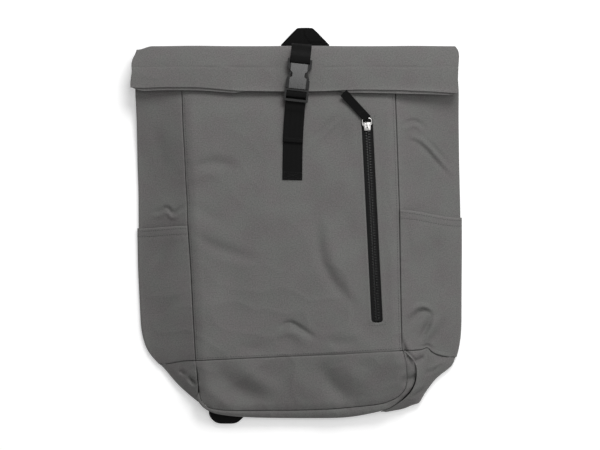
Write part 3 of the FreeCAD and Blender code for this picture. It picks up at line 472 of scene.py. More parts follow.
def ribbon(name, path, wide, thick, turns=0.0, bends=2, step=2.0, fit=None):
    """Webbing along a path in mm; turns is how its width is turned in plan, in radians."""
    centre = rounded(path, bends)
    run = reach(centre)
    count = max(int(run[-1] / step), 3)
    at = np.unique(np.concatenate([np.linspace(0, run[-1], count), run]))
    at = at[np.concatenate([[True], np.diff(at) > 0.12])]
    centre = np.stack([np.interp(at, run, centre[:, k]) for k in range(3)], 1)
    if fit is not None:
        centre = fit(centre)
    turn = np.interp(at / at[-1], np.linspace(0, 1, np.size(turns)), np.atleast_1d(turns))
    side = np.stack([np.cos(turn), np.sin(turn), np.zeros(len(at))], 1)
    way = np.gradient(centre, axis=0)
    way /= np.linalg.norm(way, axis=1, keepdims=True)
    up = np.cross(side, way)
    up /= np.linalg.norm(up, axis=1, keepdims=True)
    corners, laid = [], []
    for k in range(len(at)):
        for a, b in WEB_RING:
            corners.append(centre[k] + side[k] * (wide / 2) * a + up[k] * (thick / 2) * b)
            laid.append((wide / 2 * a, at[k]))
    made = piece(name, corners, tube(len(at), len(WEB_RING)), laid)
    outward(made)
    return made


def bent_edges(work, least):
    """The edges between two faces that meet at more than an angle."""
    return [e for e in work.edges if len(e.link_faces) == 2 and e.calc_face_angle(0) > least]


def cut_along(work, place, normal):
    """Cuts new edges into a worked mesh along a plane."""
    parts = work.verts[:] + work.edges[:] + work.faces[:]
    bmesh.ops.bisect_plane(work, geom=parts, dist=1e-7, plane_co=place, plane_no=normal)


def plate(name, outline, low, high, edge=0.3, passes=2, cuts=()):
    """A flat piece of an outline in plan, with its edges rounded."""
    path = closed_round(outline, passes)
    work = bmesh.new()
    ring = [work.verts.new((x * 0.001, y * 0.001, low * 0.001)) for x, y in path]
    face = work.faces.new(ring)
    lifted = bmesh.ops.extrude_face_region(work, geom=[face])
    tops = [v for v in lifted["geom"] if isinstance(v, bmesh.types.BMVert)]
    bmesh.ops.translate(work, verts=tops, vec=(0, 0, (high - low) * 0.001))
    bmesh.ops.recalc_face_normals(work, faces=work.faces)
    rims = bent_edges(work, 0.9)
    bmesh.ops.bevel(work, geom=rims, offset=edge * 0.001, segments=2, affect="EDGES", clamp_overlap=True)
    for y in cuts:
        cut_along(work, (0, y * 0.001, 0), (0, 1, 0))
    return from_work(name, work)


def from_work(name, work):
    """An object from a worked mesh, laid flat from above, with its sharp edges marked."""
    mesh = bpy.data.meshes.new(name)
    bmesh.ops.recalc_face_normals(work, faces=work.faces)
    work.to_mesh(mesh)
    work.free()
    x, y, z = places_of(mesh).T
    lay(mesh, np.stack([x, y + z], 1))
    smoothed(mesh)
    mesh.set_sharp_from_angle(angle=math.radians(40))
    return linked(name, mesh)


def moulded(name, node, corner, edge, flats=True, crown=None):
    """A moulded piece in a node's shape, its upright corners and its edges rounded. crown works on
    its mesh before it is done."""
    work = bmesh.new()
    work.from_mesh(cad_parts[node].data)
    work.transform(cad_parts[node].matrix_world)
    bmesh.ops.remove_doubles(work, verts=work.verts, dist=1e-6)
    bmesh.ops.recalc_face_normals(work, faces=work.faces)
    bmesh.ops.dissolve_limit(work, angle_limit=0.02, verts=work.verts, edges=work.edges)
    rounding = {"profile": 0.5, "affect": "EDGES", "clamp_overlap": True}
    tall = [e for e in bent_edges(work, 0.3)
            if abs((e.verts[0].co - e.verts[1].co).normalized().z) > 0.95]
    if tall:
        bmesh.ops.bevel(work, geom=tall, offset=corner * 0.001, segments=3, **rounding)
    bmesh.ops.bevel(work, geom=bent_edges(work, 0.6), offset=edge * 0.001, segments=2, **rounding)
    bmesh.ops.triangulate(work, faces=[f for f in work.faces if len(f.verts) > 4])
    if crown:
        crown(work)
    made = from_work(name, work)
    if not flats:
        return made
    made.modifiers.new("flats", "WEIGHTED_NORMAL").keep_sharp = True
    return plain(made)


# ---------------------------------------------------------------- finishes


def feed(tree, made, feeds):
    """Feeds a node's inputs with values or with other nodes' sockets."""
    for key, value in feeds.items():
        if isinstance(value, bpy.types.NodeSocket):
            tree.links.new(value, made.inputs[key])
        else:
            made.inputs[key].default_value = value


def add(tree, kind, settings=None, feeds=None):
    """A node with its settings and feeds."""
    made = tree.nodes.new("ShaderNode" + kind)
    for key, value in (settings or {}).items():
        setattr(made, key, value)
    feed(tree, made, feeds or {})
    return made


def effect(name, inputs, outputs):
    """A shader group with named inputs and outputs: vectors (v) or values (f)."""
    tree = bpy.data.node_groups.new(name, "ShaderNodeTree")
    kinds = {"v": "NodeSocketVector", "f": "NodeSocketFloat"}
    for word, kind, value in inputs:
        made = tree.interface.new_socket(word, in_out="INPUT", socket_type=kinds[kind])
        if value is not None:
            made.default_value = value
    for word, kind in outputs:
        tree.interface.new_socket(word, in_out="OUTPUT", socket_type=kinds[kind])
    return tree, tree.nodes.new("NodeGroupInput").outputs, tree.nodes.new("NodeGroupOutput").inputs


def math_of(tree, what, *values):
    """A sum, product or the like of values and sockets."""
    return add(tree, "Math", {"operation": what}, dict(enumerate(values))).outputs[0]


def mix(tree, share, a, b, how="MIX"):
    """Two colours mixed."""
    feeds = {0: share, 6: a, 7: b}
    return add(tree, "Mix", {"data_type": "RGBA", "blend_type": how}, feeds).outputs[2]


def noise_at(tree, place, scale, detail, rough=0.5):
    """Noise from 0 to 1."""
    feeds = {"Vector": place, "Scale": scale, "Detail": detail, "Roughness": rough}
    return add(tree, "TexNoise", None, feeds).outputs["Fac"]


def stretched(tree, value, low, high):
    """A value drawn out to run from 0 at low to 1 at high."""
    return add(tree, "MapRange", None, {"Value": value, "From Min": low, "From Max": high}).outputs[0]


def woven():
    """Plain weave with uneven threads."""
    tree, given, out = effect(
        "woven_threads",
        [("Laid", "v", None), ("Thread pitch", "f", 0.001), ("Slub", "f", 0.5)],
        [("Threads", "f"), ("Mottle", "f"), ("Patches", "f")],
    )
    turn = math_of(tree, "DIVIDE", 1.0, given["Thread pitch"])
    laid = add(tree, "VectorMath", {"operation": "SCALE"}, {0: given["Laid"], "Scale": turn}).outputs[0]
    waves = []
    for way in ("X", "Y"):
        settings = {"wave_type": "BANDS", "bands_direction": way, "wave_profile": "SIN"}
        feeds = {"Vector": laid, "Scale": 0.314, "Distortion": given["Slub"], "Detail": 1.0,
                 "Detail Scale": 0.7}
        waves.append(add(tree, "TexWave", settings, feeds).outputs["Fac"])
    threads = math_of(tree, "MULTIPLY", math_of(tree, "ADD", *waves), 0.5)
    tree.links.new(threads, out["Threads"])
    tree.links.new(noise_at(tree, given["Laid"], 620.0, 3.0, 0.7), out["Mottle"])
    tree.links.new(noise_at(tree, given["Laid"], 34.0, 4.0, 0.6), out["Patches"])
    return tree


def ribbed():
    """Webbing: ribs across it in a herringbone, with fuzz."""
    tree, given, out = effect(
        "webbing_ribs",
        [("Laid", "v", None), ("Rib pitch", "f", 0.0016), ("Lean", "f", 0.8)],
        [("Ribs", "f"), ("Fuzz", "f")],
    )
    parts = add(tree, "SeparateXYZ", None, {0: given["Laid"]}).outputs
    lean = math_of(tree, "MULTIPLY", math_of(tree, "PINGPONG", parts["X"], 0.0031), given["Lean"])
    run = math_of(tree, "ADD", parts["Y"], lean)
    turn = math_of(tree, "DIVIDE", math.tau, given["Rib pitch"])
    wave = math_of(tree, "SINE", math_of(tree, "MULTIPLY", run, turn))
    tree.links.new(math_of(tree, "MULTIPLY_ADD", wave, 0.5, 0.5), out["Ribs"])
    tree.links.new(noise_at(tree, given["Laid"], 900.0, 3.0), out["Fuzz"])
    return tree


def moulding():
    """Fine moulded grain and faint scuffs."""
    tree, given, out = effect(
        "moulded_grain",
        [("Place", "v", None), ("Grain", "f", 2400.0)],
        [("Grain height", "f"), ("Scuffs", "f")],
    )
    tree.links.new(noise_at(tree, given["Place"], given["Grain"], 2.0), out["Grain height"])
    long = add(tree, "Mapping", None, {"Vector": given["Place"], "Scale": (1.0, 0.25, 1.0)}).outputs[0]
    marks = noise_at(tree, long, 420.0, 6.0, 0.75)
    tree.links.new(stretched(tree, marks, 0.55, 0.72), out["Scuffs"])
    return tree


WOVEN, RIBBED, MOULDED = woven(), ribbed(), moulding()


def finish(name, constants):
    """A material with its shader's own constants, its tree and its shader's inputs."""
    made = bpy.data.materials.new(name)
    made.use_nodes = True
    tree = made.node_tree
    shader = tree.nodes["Principled BSDF"]
    for key, value in constants.items():
        shader.inputs[key].default_value = value
    return made, tree, shader.inputs


def dress(tree, shader, colour, rough, height, strength, bump):
    """Links a shader's colour, roughness and bump."""
    tree.links.new(colour, shader["Base Color"])
    tree.links.new(rough, shader["Roughness"])
    bumped = add(tree, "Bump", None, {"Height": height, "Strength": strength, "Distance": bump})
    tree.links.new(bumped.outputs[0], shader["Normal"])


def placed(tree, group, **feeds):
    """A group placed in a material; underscores stand for spaces."""
    made = tree.nodes.new("ShaderNodeGroup")
    made.node_tree = group
    feed(tree, made, {key.replace("_", " "): value for key, value in feeds.items()})
    return made.outputs


def grey(value, warm=0.0):
    """A grey, a little warm or cool."""
    return (value * (1 + warm), value, value * (1 - warm), 1.0)


def cloth_finish(name, dark, light, pitch, bump, constants, weights=(0.45, 0.95, 0.14), worn=0.3,
                 tints=None):
    """Woven cloth: threads, a mottle of slubs, patches, and paler worn folds."""
    made, tree, shader = finish(name, constants)
    laid = add(tree, "UVMap", {"uv_map": "Laid"}).outputs[0]
    threads = placed(tree, WOVEN, Laid=laid, Thread_pitch=pitch)
    share = 0.0
    for word, weight in zip(("Threads", "Mottle", "Patches"), weights):
        share = math_of(tree, "MULTIPLY_ADD", threads[word], weight, share)
    share = stretched(tree, share, 0.35 * sum(weights), 0.65 * sum(weights))
    colour = mix(tree, share, dark, light)
    rub = add(tree, "Attribute", {"attribute_name": "wear"}).outputs["Fac"]
    rub = math_of(tree, "MULTIPLY", rub, math_of(tree, "MULTIPLY", threads["Mottle"], worn * 2))
    colour = mix(tree, rub, colour, tuple(min(k * 1.8, 1) for k in light[:3]) + (1.0,))
    if tints:
        patches = stretched(tree, threads["Patches"], 0.38, 0.6)
        colour = mix(tree, 1.0, colour, mix(tree, patches, *tints), "MULTIPLY")
    rough = math_of(tree, "MULTIPLY_ADD", threads["Mottle"], 0.2, constants["Roughness"] - 0.1)
    tall = math_of(tree, "MULTIPLY_ADD", threads["Mottle"], 1.2, threads["Threads"])
    dress(tree, shader, colour, rough, tall, 0.6, bump)
    return made


def webbing_finish(name, dark, light, pitch, lean, bump=0.00018):
    """Woven strap."""
    made, tree, shader = finish(name, {"Roughness": 0.62, "Specular IOR Level": 0.05})
    laid = add(tree, "UVMap", {"uv_map": "Laid"}).outputs[0]
    ribs = placed(tree, RIBBED, Laid=laid, Rib_pitch=pitch, Lean=lean)
    share = math_of(tree, "MULTIPLY", ribs["Ribs"], ribs["Fuzz"])
    rough = math_of(tree, "MULTIPLY_ADD", ribs["Fuzz"], 0.3, 0.45)
    tall = math_of(tree, "MULTIPLY_ADD", ribs["Fuzz"], 0.5, ribs["Ribs"])
    dress(tree, shader, mix(tree, share, dark, light), rough, tall, 0.7, bump)
    return made


def hard_finish(name, dark, light, constants, rough=(0.2, 0.4), bump=0.00002, grain=2400.0):
    """Moulded or plated pieces."""
    made, tree, shader = finish(name, constants)
    place = add(tree, "TexCoord").outputs["Object"]
    marks = placed(tree, MOULDED, Place=place, Grain=grain)
    low, high = rough
    shine = math_of(tree, "MULTIPLY_ADD", marks["Scuffs"], high - low, low)
    dress(tree, shader, mix(tree, marks["Scuffs"], dark, light), shine, marks["Grain height"], 0.4, bump)
    return made


canvas = cloth_finish("grey_canvas", grey(0.094), grey(0.180), 0.00085, 0.00022,
                      {"Roughness": 0.86, "Specular IOR Level": 0.2, "Sheen Weight": 0.06}, worn=0.1,
                      tints=((1.03, 0.98, 0.975, 1), (0.995, 1.0, 0.965, 1)))
back_mesh = cloth_finish("back_spacer_mesh", grey(0.010), grey(0.042), 0.0026, 0.0007,
                         {"Roughness": 0.9, "Specular IOR Level": 0.2, "Sheen Weight": 0.1},
                         (0.9, 0.3, 0.2), 0.15)
lining_cloth = cloth_finish("thin_lining", grey(0.036), grey(0.066), 0.0005, 0.0001,
                            {"Roughness": 0.7, "Specular IOR Level": 0.3, "Sheen Weight": 0.05})
foam_finish = cloth_finish("closed_cell_foam", grey(0.02), grey(0.045), 0.0014, 0.0002,
                           {"Roughness": 0.95, "Specular IOR Level": 0.15, "Sheen Weight": 0.0},
                           (0.1, 1.0, 0.4), 0.0)
zip_cloth = webbing_finish("zip_tape_cloth", grey(0.005), grey(0.018), 0.0009, 0.0, 0.0001)
webbing = webbing_finish("black_webbing", grey(0.0015), grey(0.0095), 0.0016, 0.8)
pull_cloth = webbing_finish("pull_tape_cloth", grey(0.0012), grey(0.0075), 0.0011, 0.5, 0.00012)
# One black plastic in two copies: this paler, glossier copy is painted light for the buckle plate's upward
# faces, and the darker, duller copy below is painted shade for the frame, latch arms, ladder locks and the
# plate's other faces.
plastic = hard_finish("black_plastic_painted_light", grey(0.0085), grey(0.022),
                      {"Specular IOR Level": 0.45, "Coat Weight": 0.2, "Coat Roughness": 0.22},
                      (0.26, 0.4), 0.00001, 700.0)
shaded_copy_plastic = hard_finish("black_plastic_painted_shade", grey(0.006), grey(0.014), {"Specular IOR Level": 0.16},
                           (0.34, 0.5), 0.00001, 700.0)
stop_plastic = hard_finish("zip_stop_plastic", grey(0.006), grey(0.014), {"Specular IOR Level": 0.12},
                           (0.5, 0.65))
tooth_plastic = hard_finish("zip_tooth_plastic", grey(0.007), grey(0.02), {"Specular IOR Level": 0.24},
                            (0.16, 0.4))
nickel = hard_finish("nickel_plate", grey(0.36, 0.02), grey(0.55, 0.02), {"Metallic": 1.0}, (0.22, 0.45))
thread = webbing_finish("sewing_thread", grey(0.05), grey(0.11), 0.0006, 1.0, 0.00005)
black_thread = webbing_finish("black_thread", grey(0.012), grey(0.04), 0.0006, 1.0, 0.00005)

# ---------------------------------------------------------------- stitches and teeth


def row_tree(name, line_word, sizes, across, finish_word, out_word, shape):
    """A tree that sets one shape in a row along a line. sizes are its named lengths, Pitch among
    them; across names the three that scale the shape; shape makes it and gives its socket."""
    tree = bpy.data.node_groups.new(name, "GeometryNodeTree")
    face, made, join = tree.interface, tree.nodes.new, tree.links.new
    face.new_socket(line_word, in_out="INPUT", socket_type="NodeSocketGeometry")
    names = {}
    for word, value in sizes.items():
        socket = face.new_socket(word, in_out="INPUT", socket_type="NodeSocketFloat")
        socket.default_value = value
        names[word] = socket.identifier
    socket = face.new_socket(finish_word, in_out="INPUT", socket_type="NodeSocketMaterial")
    names[finish_word] = socket.identifier
    face.new_socket(out_word, in_out="OUTPUT", socket_type="NodeSocketGeometry")
    given, out = made("NodeGroupInput"), made("NodeGroupOutput")
    curve = made("GeometryNodeMeshToCurve")
    join(given.outputs[line_word], curve.inputs[0])
    points = made("GeometryNodeCurveToPoints")
    points.mode = "LENGTH"
    join(curve.outputs[0], points.inputs["Curve"])
    join(given.outputs["Pitch"], points.inputs["Length"])
    size = made("ShaderNodeCombineXYZ")
    for axis, word in zip("XYZ", across):
        join(given.outputs[word], size.inputs[axis])
    spread = made("GeometryNodeInstanceOnPoints")
    join(points.outputs["Points"], spread.inputs["Points"])
    join(shape(tree), spread.inputs["Instance"])
    join(points.outputs["Rotation"], spread.inputs["Rotation"])
    join(size.outputs[0], spread.inputs["Scale"])
    real = made("GeometryNodeRealizeInstances")
    join(spread.outputs[0], real.inputs[0])
    coat = made("GeometryNodeSetMaterial")
    join(real.outputs[0], coat.inputs["Geometry"])
    join(given.outputs[finish_word], coat.inputs["Material"])
    join(coat.outputs[0], out.inputs[0])
    return tree, names


def one_stitch(tree):
    """A stitch: a grain of thread."""
    stitch = tree.nodes.new("GeometryNodeMeshIcoSphere")
    stitch.inputs["Subdivisions"].default_value = 1
    stitch.inputs["Radius"].default_value = 0.5
    return stitch.outputs["Mesh"]


STITCH_ROW = row_tree("stitch_row", "Seam line", {"Pitch": 0.0032, "Stitch length": 0.0023, "Thread": 0.0006},
                      ("Thread", "Thread", "Stitch length"), "Thread finish", "Stitches", one_stitch)


def grown(name, lines, row, values):
    """Runs a tree on lines in mm and leaves its result as a plain mesh."""
    corners, edges = [], []
    for path in lines:
        path = np.asarray(path, float)
        edges += [(len(corners) + k, len(corners) + k + 1) for k in range(len(path) - 1)]
        corners += (path * 0.001).tolist()
    mesh = bpy.data.meshes.new(name)
    mesh.from_pydata(corners, edges, [])
    made = linked(name, mesh)
    tree, names = row
    tool = made.modifiers.new("grow", "NODES")
    tool.node_group = tree
    for word, value in values.items():
        tool[names[word]] = value
    plain(made)
    lay(made.data, places_of(made.data)[:, :2])
    return made


def stitches(name, lines, body, material=thread, pitch=3.2, long=2.3, wide=0.6):
    """Rows of stitches along lines in mm."""
    values = {"Pitch": pitch * 0.001, "Stitch length": long * 0.001, "Thread": wide * 0.001,
              "Thread finish": material}
    made = grown(name, lines, STITCH_ROW, values)
    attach(made, body)
    return made


def on_front(points):
    """A line on the front cloth."""
    x, y = np.asarray(points, float).T
    return np.stack([x, y, front_top(x, y) + 0.1], 1)


# ---------------------------------------------------------------- front panel

PANEL_LOW = -158.5
SEAM_GAP = 0.25
SLOT_HALF = 7.0
SLOT_TOP = ZIP_TOP[1]
SLOT_LOW = ZIP_TOP[1] + ZIP_LONG * ZIP_WAY[1]


def guide(rows, end=PANEL_LOW):
    """The y at shares down the panel to its low end, which is PANEL_LOW beside the zip."""
    return TOP_Y + (end - TOP_Y) * rows


def row_at(y):
    """The share down the panel beside the zip where a y is."""
    return (TOP_Y - y) / (TOP_Y - PANEL_LOW)


def zip_x(y, aside):
    """The x of a line beside the zip; it draws in to the slot's lower end and out again below."""
    middle = ZIP_TOP[0] + (y - ZIP_TOP[1]) * ZIP_WAY[0] / ZIP_WAY[1]
    end = np.clip((SLOT_LOW + 5.0 - y) / 5.0, 0, 1)
    closed = np.clip(1 - end**3.2, 0.03, 1) ** (1 / 3.2)
    return middle + aside * (closed + (1 - closed) * ease(SLOT_LOW - y, 0.5, 26))


front_rows = shares(196, 380, near=False)
for stop in (SLOT_TOP, SLOT_LOW):
    front_rows[int(np.argmin(np.abs(guide(front_rows) - stop)))] = row_at(stop)
front_rows = np.unique(np.concatenate([
    front_rows, row_at(SLOT_LOW + np.array([0.4, 1.2, 2.4, 4.0, 6.0])),
    row_at(SLOT_TOP - np.array([0.4, 1.1, 2.0]))]))
columns = [
    (lambda y: seam["left"](y) + SEAM_GAP, BAND_LEFT[1]),
    (lambda y: zip_x(y, -SLOT_HALF), PANEL_LOW),
    (lambda y: zip_x(y, SLOT_HALF), PANEL_LOW),
    (lambda y: seam["right"](y) - SEAM_GAP, BAND_RIGHT[1]),
]
spans = [shares(112, 215), np.linspace(0, 1, 7), shares(14, 35)]
strips = []
for (a, a_end), (b, b_end), span in zip(columns[:-1], columns[1:], spans):
    ya, yb, s = guide(front_rows, a_end), guide(front_rows, b_end), span[None, :]
    x = a(ya)[:, None] * (1 - s) + b(yb)[:, None] * s
    y = ya[:, None] * (1 - s) + yb[:, None] * s
    strips.append(np.stack([x, y], 2))
plan = np.concatenate([strips[0], strips[1][:, 1:], strips[2][:, 1:]], 1)
x, y = plan[..., 0], plan[..., 1]
in_slot = (y < SLOT_TOP + 0.01) & (y > SLOT_LOW - 0.01)
slot_half = np.abs(zip_x(y, SLOT_HALF) - zip_x(y, 0.0))
beside = np.where(in_slot, np.abs(x - zip_x(y, 0.0)) - slot_half, FAR)
across = (x - BAND_LEFT[0]) / (BAND_RIGHT[0] - BAND_LEFT[0])
band_away = y - (BAND_LEFT[1] + (BAND_RIGHT[1] - BAND_LEFT[1]) * across)
side_away = in_from_seams(x, y) - SEAM_GAP
z = front_top(x, y) - turned(np.maximum(side_away, 0)) - turned(np.maximum(band_away, 0), 1.8)
z -= turned(np.maximum(beside, 0), 0.9, 1.1)
z += 0.35 * ease(4.6 - np.abs(beside), 0, 0.8)
wear = np.exp(-np.minimum(side_away, band_away) / 2.5) + 0.5 * np.exp(-np.maximum(beside, 0) / 1.5)
first, last = len(spans[0]) - 1, len(spans[0]) + len(spans[1]) - 2
guide_y = guide(front_rows)
rows_mid = (guide_y[:-1] + guide_y[1:]) / 2
gone = np.zeros((len(front_rows) - 1, plan.shape[1] - 1), bool)
gone[np.ix_((rows_mid < SLOT_TOP) & (rows_mid > SLOT_LOW), range(first, last))] = True
front_panel = cloth("front_panel_cloth", np.stack([x, y, z], 2), gone=gone, wear=wear)
joined(front_panel, "bag", "front_panel", slot="grey_cloth", material=canvas)

# ---------------------------------------------------------------- front band and bottom panel

band_top = line([(195.3, 361), (225, 359.5), (259.5, 358), (300, 356.2), (340, 354.6), (372, 352.2),
                 (403, 350.8)], 40)
low_seam = line([(199, 392), (200.7, 400), (205, 406), (214, 409.6), (234, 411), (272, 410.6), (300, 410.5),
                 (340, 408.8), (380, 404.5), (390, 401.4), (400, 396), (405.4, 389), (407.3, 380)], 24)
band_left = line([(195.3, 361), (195.9, 366), (197, 373), (199, 392)], [36, 36, 34, 28])
band_right = line([(403, 350.8), (404.3, 356), (406, 362), (407.3, 380)], [36, 36, 34, 30])
across, down = shares(124, 270), shares(34, 68)


def band_height(x, y):
    """The height of the front band."""
    fall = 6.0 * sewn_fall(nearest(x, y, band_left, band_right), FALL_WIDE)
    fall = fall + 3.5 * sewn_fall(nearest(x, y, low_seam), 9.0)
    return front_high(y) - fall + relief(x, y)


plan = patch(at_shares(band_left, down), at_shares(band_right, down), at_shares(band_top, across),
             at_shares(low_seam, across), across, down)
x, y = plan[..., 0], plan[..., 1]
rim = nearest(x, y, band_left, band_right, low_seam, band_top)
ripple = np.sin(x * math.tau / 13 + 2 * np.sin(x / 23))
z = band_height(x, y) - turned(rim, 1.9) + 0.4 * ripple * np.exp(-nearest(x, y, low_seam) / 6)
front_band = cloth("front_band_cloth", np.stack([x, y, z], 2), wear=np.exp(-rim / 2.5))
joined(front_band, "bag", "front_band", slot="grey_cloth", material=canvas)

outer_low = line(
    [(196.4, 397.5), (199, 402.6), (205, 409), (216, 413.8), (232, 416.2), (250, 417.4), (276, 418),
     (310, 418.2), (338, 418), (352, 416.8), (364, 414.6), (380, 411), (392, 406.4), (404.6, 397),
     (412.4, 388), (416.3, 376), (416.4, 366), (413.5, 360.5), (409, 356), (404.4, 352)],
    [22, 20, 16, 13, 12, 12, 12, 12, 12, 12, 12, 12.5, 14, 17, 19, 21, 25, 29, 32, 35])
inner_strip = np.vstack([low_seam, line([(406.3, 368), (404.8, 358), (403.5, 352)], 36)])
strip = shares(150, 330)
ahead = at_shares(inner_strip, strip)
out = at_shares(outer_low, strip)
middle = ease(strip, 0.05, 0.17) * ease(1 - strip, 0.27, 0.43)
high = band_height(ahead[:, 0], ahead[:, 1]) - 0.2
low = (high - 3.0) * (1 - middle) + 12.6 * middle
back_x = np.clip(out[:, 0], -108, 110)
behind = np.stack([out[:, 0] * (1 - middle) + back_x * middle,
                   (out[:, 1] + 0.6) * (1 - middle) + BACK_FOOT * middle], 1)
behind_z = (low - 3.5) * (1 - middle) + BACK_LOW * middle
rows = []
for q in np.concatenate([[0, 0.02, 0.05, 0.1], np.linspace(0.2, 1, 10)]):
    share = math.sin(q * math.pi / 2)
    xy = ahead * (1 - share) + out * share
    z = low + (high - low) * math.cos(q * math.pi / 2) - turned(np.full(len(low), q * 9.0), 1.2)
    pucker = 0.25 * np.sin(xy[:, 0] * math.tau / 12) + 0.7 * relief(xy[:, 0], xy[:, 1])
    rows.append(np.column_stack([xy, z + pucker * math.sin(q * math.pi)]))
for q in np.linspace(0.12, 1, 8):
    share = math.cos(q * math.pi / 2)
    xy = behind * (1 - share) + out * share
    rows.append(np.column_stack([xy, low + (behind_z - low) * math.sin(q * math.pi / 2)]))
bottom_panel = cloth("bottom_cloth", np.array(rows), wear=0.25)
joined(bottom_panel, "bag", "bottom_panel", slot="grey_cloth", material=canvas)

# ---------------------------------------------------------------- gussets and side pockets

GUSSET_LONG = 385
GUSSET_WIDE = 62
POCKET_LONG = 165
BAND_DIP = {
    "left": ([0, 0.5, 1], [0, 0.8, 0]),
    "right": ([0, 0.2, 0.36, 0.46, 0.5, 0.56, 0.66, 0.8, 1], [0, 0.8, 3.2, 7.0, 7.2, 3.0, 0.8, 0, 0]),
}
S_LINE = np.concatenate([shares(32, 66, far=False), 1 + np.linspace(0, 1, 8)[1:],
                         2 + np.linspace(0, 1, 12)[1:]])


def by_part(s, top, around, back):
    """Picks a gusset's top, where s is 0 to 1, the turn round its fold, to 2, or its back, to 3."""
    return np.where(s <= 1, top, np.where(s <= 2, around, back))


def gusset_point(side, along, s, proud=0.0, rise=0.0):
    """Points of a gusset: s runs 0 to 1 from the front seam to the fold, to 2 round the fold,
    and to 3 along the back. proud is how far outside it they lie."""
    sign = SIDES[side]
    start, end = BAND_END[side][1], FOLD_END[side][1]
    outer = TOP_Y + (along - TOP_Y) * (end - TOP_Y) / (start - TOP_Y)
    top, back = np.clip(s, 0, 1), np.clip(s - 2, 0, 1)
    y = along + (outer - along) * ease(s, 0, 1.0)
    y = y + np.interp(top, *BAND_DIP[side]) * (1 - ease(along - start, 0, 45))
    x_in = seam[side](along)
    x_fold = fold[side](outer) - sign * FOLD_ROUND
    middle = fold_high(outer)
    x_top = x_in + (x_fold - x_in) * top
    z_in = front_high(along) - seam_drop(along)
    z_top = z_in + (middle + FOLD_ROUND - z_in) * (1 - (1 - top) ** 1.3)
    z_top = z_top + relief(x_top, y) * (1 - top**4) + proud + rise * np.sin(math.pi * top**0.8)
    turn = np.clip(s - 1, 0, 1) * math.pi
    x_round = x_fold + sign * (FOLD_ROUND + proud) * np.sin(turn)
    z_round = middle + (FOLD_ROUND + proud) * np.cos(turn)
    x_back = x_fold + (back_seam[side](outer) - x_fold) * back
    z_low = middle - FOLD_ROUND
    z_back = z_low + (BACK_LOW - z_low) * back - proud
    return np.stack([by_part(s, x_top, x_round, x_back), y, by_part(s, z_top, z_round, z_back)], 2)


def seam_away(s, wide):
    """How far a gusset's top is from its front seam; the rest of it counts as far."""
    return np.where(s <= 1, s * wide, FAR)


def rubbed(s):
    """The wear along a gusset's fold."""
    return 0.8 * np.exp(-(((s - 1.4) / 0.35) ** 2))


def side_cloth(side, name, grid, wear):
    """A cloth of one side, in the order of columns that thickens it inwards."""
    if side == "left":
        grid, wear = grid[:, ::-1], wear[:, ::-1]
    return cloth(name, grid, wear=wear)


gusset_last = {}
for side in SIDES:
    down = shares(190, GUSSET_LONG, near=False)
    ss, along = np.meshgrid(S_LINE, TOP_Y + (BAND_END[side][1] - TOP_Y) * down)
    grid = gusset_point(side, along, ss)
    from_seam = seam_away(ss, GUSSET_WIDE)
    from_band = (1 - down)[:, None] * GUSSET_LONG + 0 * ss
    grid[..., 2] -= turned(from_seam, 2.2) + turned(from_band, 1.8) * (ss < 1.5)
    gusset_last[side] = grid[-1].copy()
    marks = np.exp(-from_seam / 2.5) + np.exp(-from_band / 2.5) + rubbed(ss)
    made = side_cloth(side, f"{side}_gusset_cloth", grid, marks)
    joined(made, "bag", f"{side}_gusset", slot="grey_cloth", material=canvas)

    # the open side pocket, which bags a little at its mouth
    top_y, slant, hem_depths = {"left": (1.0, 0.0, (4.2, 9.6)), "right": (21.0, 4.5, (4.2, 9.8))}[side]
    down = shares(96, 170, near=False)
    ss, along = np.meshgrid(S_LINE, top_y + (BAND_END[side][1] - top_y) * down)
    t = down[:, None]
    shift = slant * ease(ss, 0, 1) * (1 - t)
    bag = 4.2 * (1 - t) ** 1.6 * ease(1.9 - ss, 0, 0.7)
    sag = 1.1 * np.sin(ss * 2.9 + 1.0) * (1 - t) ** 2
    grid = gusset_point(side, along - shift, ss, proud=1.35 + 0.5 * (1 - t), rise=bag + sag)
    from_top = t * POCKET_LONG
    grid[..., 2] += 0.55 * ease(10.5 - from_top, 0, 1.5) * (ss < 1.4)
    grid[..., 2] -= turned(seam_away(ss, GUSSET_WIDE), 2.0)
    grid[..., 2] -= turned((1 - t) * POCKET_LONG, 1.8) * (ss < 1.5)
    marks = np.exp(-from_top / 1.6) + 0.5 * np.exp(-np.abs(from_top - 11) / 1.5) + rubbed(ss)
    hem_rows = []
    for depth in hem_depths:
        k = int(np.argmin(np.abs(from_top[:, 0] - depth)))
        hem_rows.append(grid[k][(S_LINE > 0.03) & (S_LINE < 1.35)] + [0, 0, 0.05])
    made = side_cloth(side, f"{side}_pocket_cloth", grid, marks)
    joined(made, "bag", f"{side}_side_pocket", slot="grey_cloth", material=canvas)
    stitches(f"{side}_pocket_hem_stitches", hem_rows, "bag")

